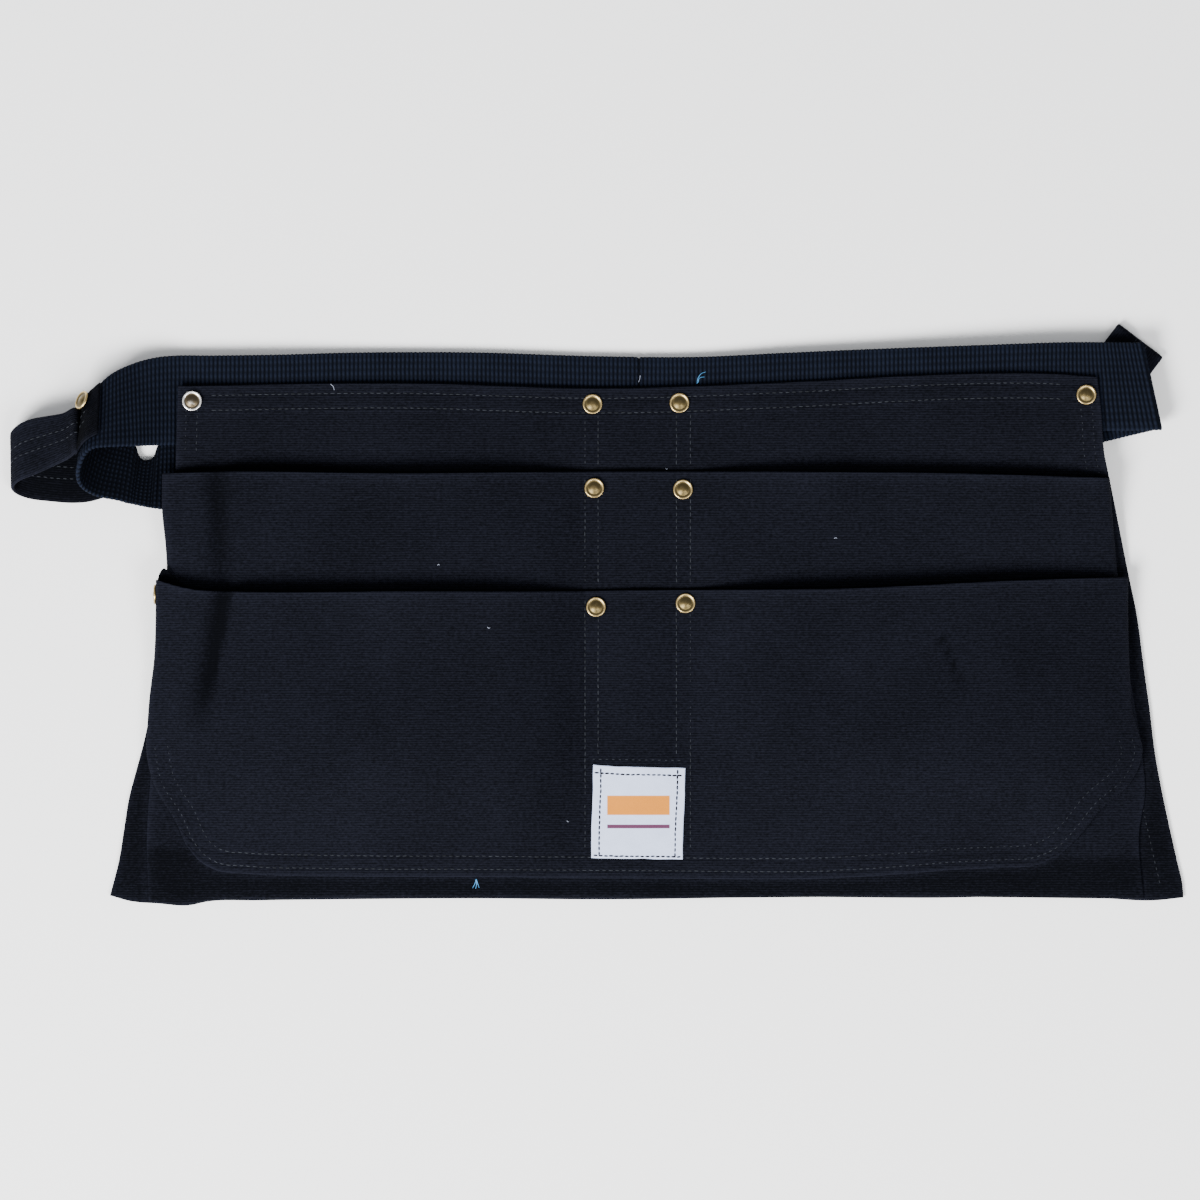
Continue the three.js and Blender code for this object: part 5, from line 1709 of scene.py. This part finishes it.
class APRON_OT_loose_threads(bpy.types.Operator):
    """Lay the loose thread tails and the lint on the cloth."""

    bl_idname = "apron.loose_threads"
    bl_label = "Loose threads"

    def execute(self, context):
        graph = context.evaluated_depsgraph_get()
        cloths = ("waist_belt_webbing", "back_panel_duck", "upper_pocket_duck", "lower_pocket_duck")
        trees = [BVHTree.FromObject(bpy.data.objects[name], graph) for name in cloths]

        def rest(x, y):
            hits = [tree.ray_cast(Vector((x, y, 0.2)), Vector((0, 0, -1)))[0] for tree in trees]
            return max(hit.z for hit in hits if hit is not None)

        for name, tails in LOOSE_THREADS.items():
            points, faces = [], []
            radius = tails["radius"] * MM
            for places in tails["lines"]:
                flat = SmoothLine(np.array(places) * MM)(np.linspace(0, 1, 12))
                high = [rest(x, y) + radius for x, y in flat]
                body, sides = thread_body(np.column_stack([flat, high]), radius)
                faces += [[index + len(points) for index in face] for face in sides]
                points += body.tolist()
            dress(make_piece(name, np.array(points), faces, tails["finish"]), "duck")
        return {"FINISHED"}


class APRON_OT_stage(bpy.types.Operator):
    """Lay the floor and set the lights and the camera."""

    bl_idname = "apron.stage"
    bl_label = "Stage"

    def execute(self, context):
        stage = context.scene.apron_stage
        bpy.ops.object.select_all(action="DESELECT")
        bpy.ops.mesh.primitive_plane_add(size=30, location=(0, 0, -0.3 * MM))
        floor = context.object
        floor.name = "floor"
        floor.data.materials.append(floor_finish(stage.floor_colour))

        centre = Vector(CAMERA_TARGET) * MM
        camera_data = bpy.data.cameras.new("photo_camera")
        camera = bpy.data.objects.new("photo_camera", camera_data)
        context.scene.collection.objects.link(camera)
        camera.location = centre + Vector((0, 0, stage.camera_height))
        camera_data.sensor_width = 36
        camera_data.lens = camera_data.sensor_width * stage.camera_height / stage.frame_width
        camera_data.clip_start, camera_data.clip_end = 0.1, 50
        context.scene.camera = camera

        for row in LIGHTS:
            self.light(**row)
        world = bpy.data.worlds.new("soft studio")
        world.use_nodes = True
        background = world.node_tree.nodes["Background"]
        background.inputs["Color"].default_value = SKY_COLOUR
        background.inputs["Strength"].default_value = SKY_STRENGTH
        context.scene.world = world
        return {"FINISHED"}

    @staticmethod
    def light(name, place, size, power):
        data = bpy.data.lights.new(name, "AREA")
        data.shape, data.size, data.energy = "SQUARE", size, power
        lamp = bpy.data.objects.new(name, data)
        lamp.location = place
        lamp.rotation_mode = "QUATERNION"
        lamp.rotation_quaternion = (-Vector(place)).to_track_quat("-Z", "Y")
        lamp.visible_camera = False
        bpy.context.scene.collection.objects.link(lamp)


class APRON_OT_finishes(bpy.types.Operator):
    """Mix the procedural finishes."""

    bl_idname = "apron.finishes"
    bl_label = "Finishes"

    def execute(self, context):
        scene = context.scene
        trim = scene.apron_trim
        duck_finish(scene.apron_cloth)
        webbing_finish(scene.apron_webbing)
        thread_finish("thread", trim.thread_colour)
        for name, colour in THREAD_COLOURS.items():
            thread_finish(name, colour)
        brass_finish("brass", trim.brass_colour, BRASS_RECESS)
        brass_finish("worn_brass", WORN_BRASS, WORN_RECESS)
        label_finish(trim)
        moulded_finish()
        return {"FINISHED"}


class APRON_PT_pieces(bpy.types.Panel):
    """Lists the apron's pieces and settings."""

    bl_idname = "APRON_PT_pieces"
    bl_label = "Nail apron"
    bl_space_type = "VIEW_3D"
    bl_region_type = "UI"
    bl_category = "Nail apron"

    def draw(self, context):
        for settings in SETTINGS:
            group = getattr(context.scene, settings)
            for name in group.__annotations__:
                self.layout.prop(group, name)
        for operator in OPERATORS:
            self.layout.operator(operator.bl_idname)


SETTINGS = {
    "apron_cloth": ApronCloth,
    "apron_webbing": ApronWebbing,
    "apron_trim": ApronTrim,
    "apron_stage": ApronStage,
}
OPERATORS = [
    APRON_OT_finishes, APRON_OT_stage, APRON_OT_back_panel, APRON_OT_pockets, APRON_OT_label,
    APRON_OT_belt, APRON_OT_hammer_loops, APRON_OT_buckle, APRON_OT_rivets, APRON_OT_stitching,
    APRON_OT_loose_threads,
]


def register():
    for group in SETTINGS.values():
        bpy.utils.register_class(group)
    for name, group in SETTINGS.items():
        setattr(bpy.types.Scene, name, bpy.props.PointerProperty(type=group))
    for operator in OPERATORS:
        bpy.utils.register_class(operator)
    bpy.utils.register_class(APRON_PT_pieces)


def unregister():
    bpy.utils.unregister_class(APRON_PT_pieces)
    for operator in reversed(OPERATORS):
        bpy.utils.unregister_class(operator)
    for name, group in SETTINGS.items():
        delattr(bpy.types.Scene, name)
        bpy.utils.unregister_class(group)


def main():
    register()
    bpy.ops.apron.finishes()
    bpy.ops.apron.stage()
    bpy.ops.apron.back_panel()
    bpy.ops.apron.pockets()
    bpy.ops.apron.label()
    bpy.ops.apron.belt()
    bpy.ops.apron.hammer_loops()
    bpy.ops.apron.buckle()
    bpy.ops.apron.rivets()
    bpy.ops.apron.stitching()
    bpy.ops.apron.loose_threads()


if __name__ == "__main__":
    main()
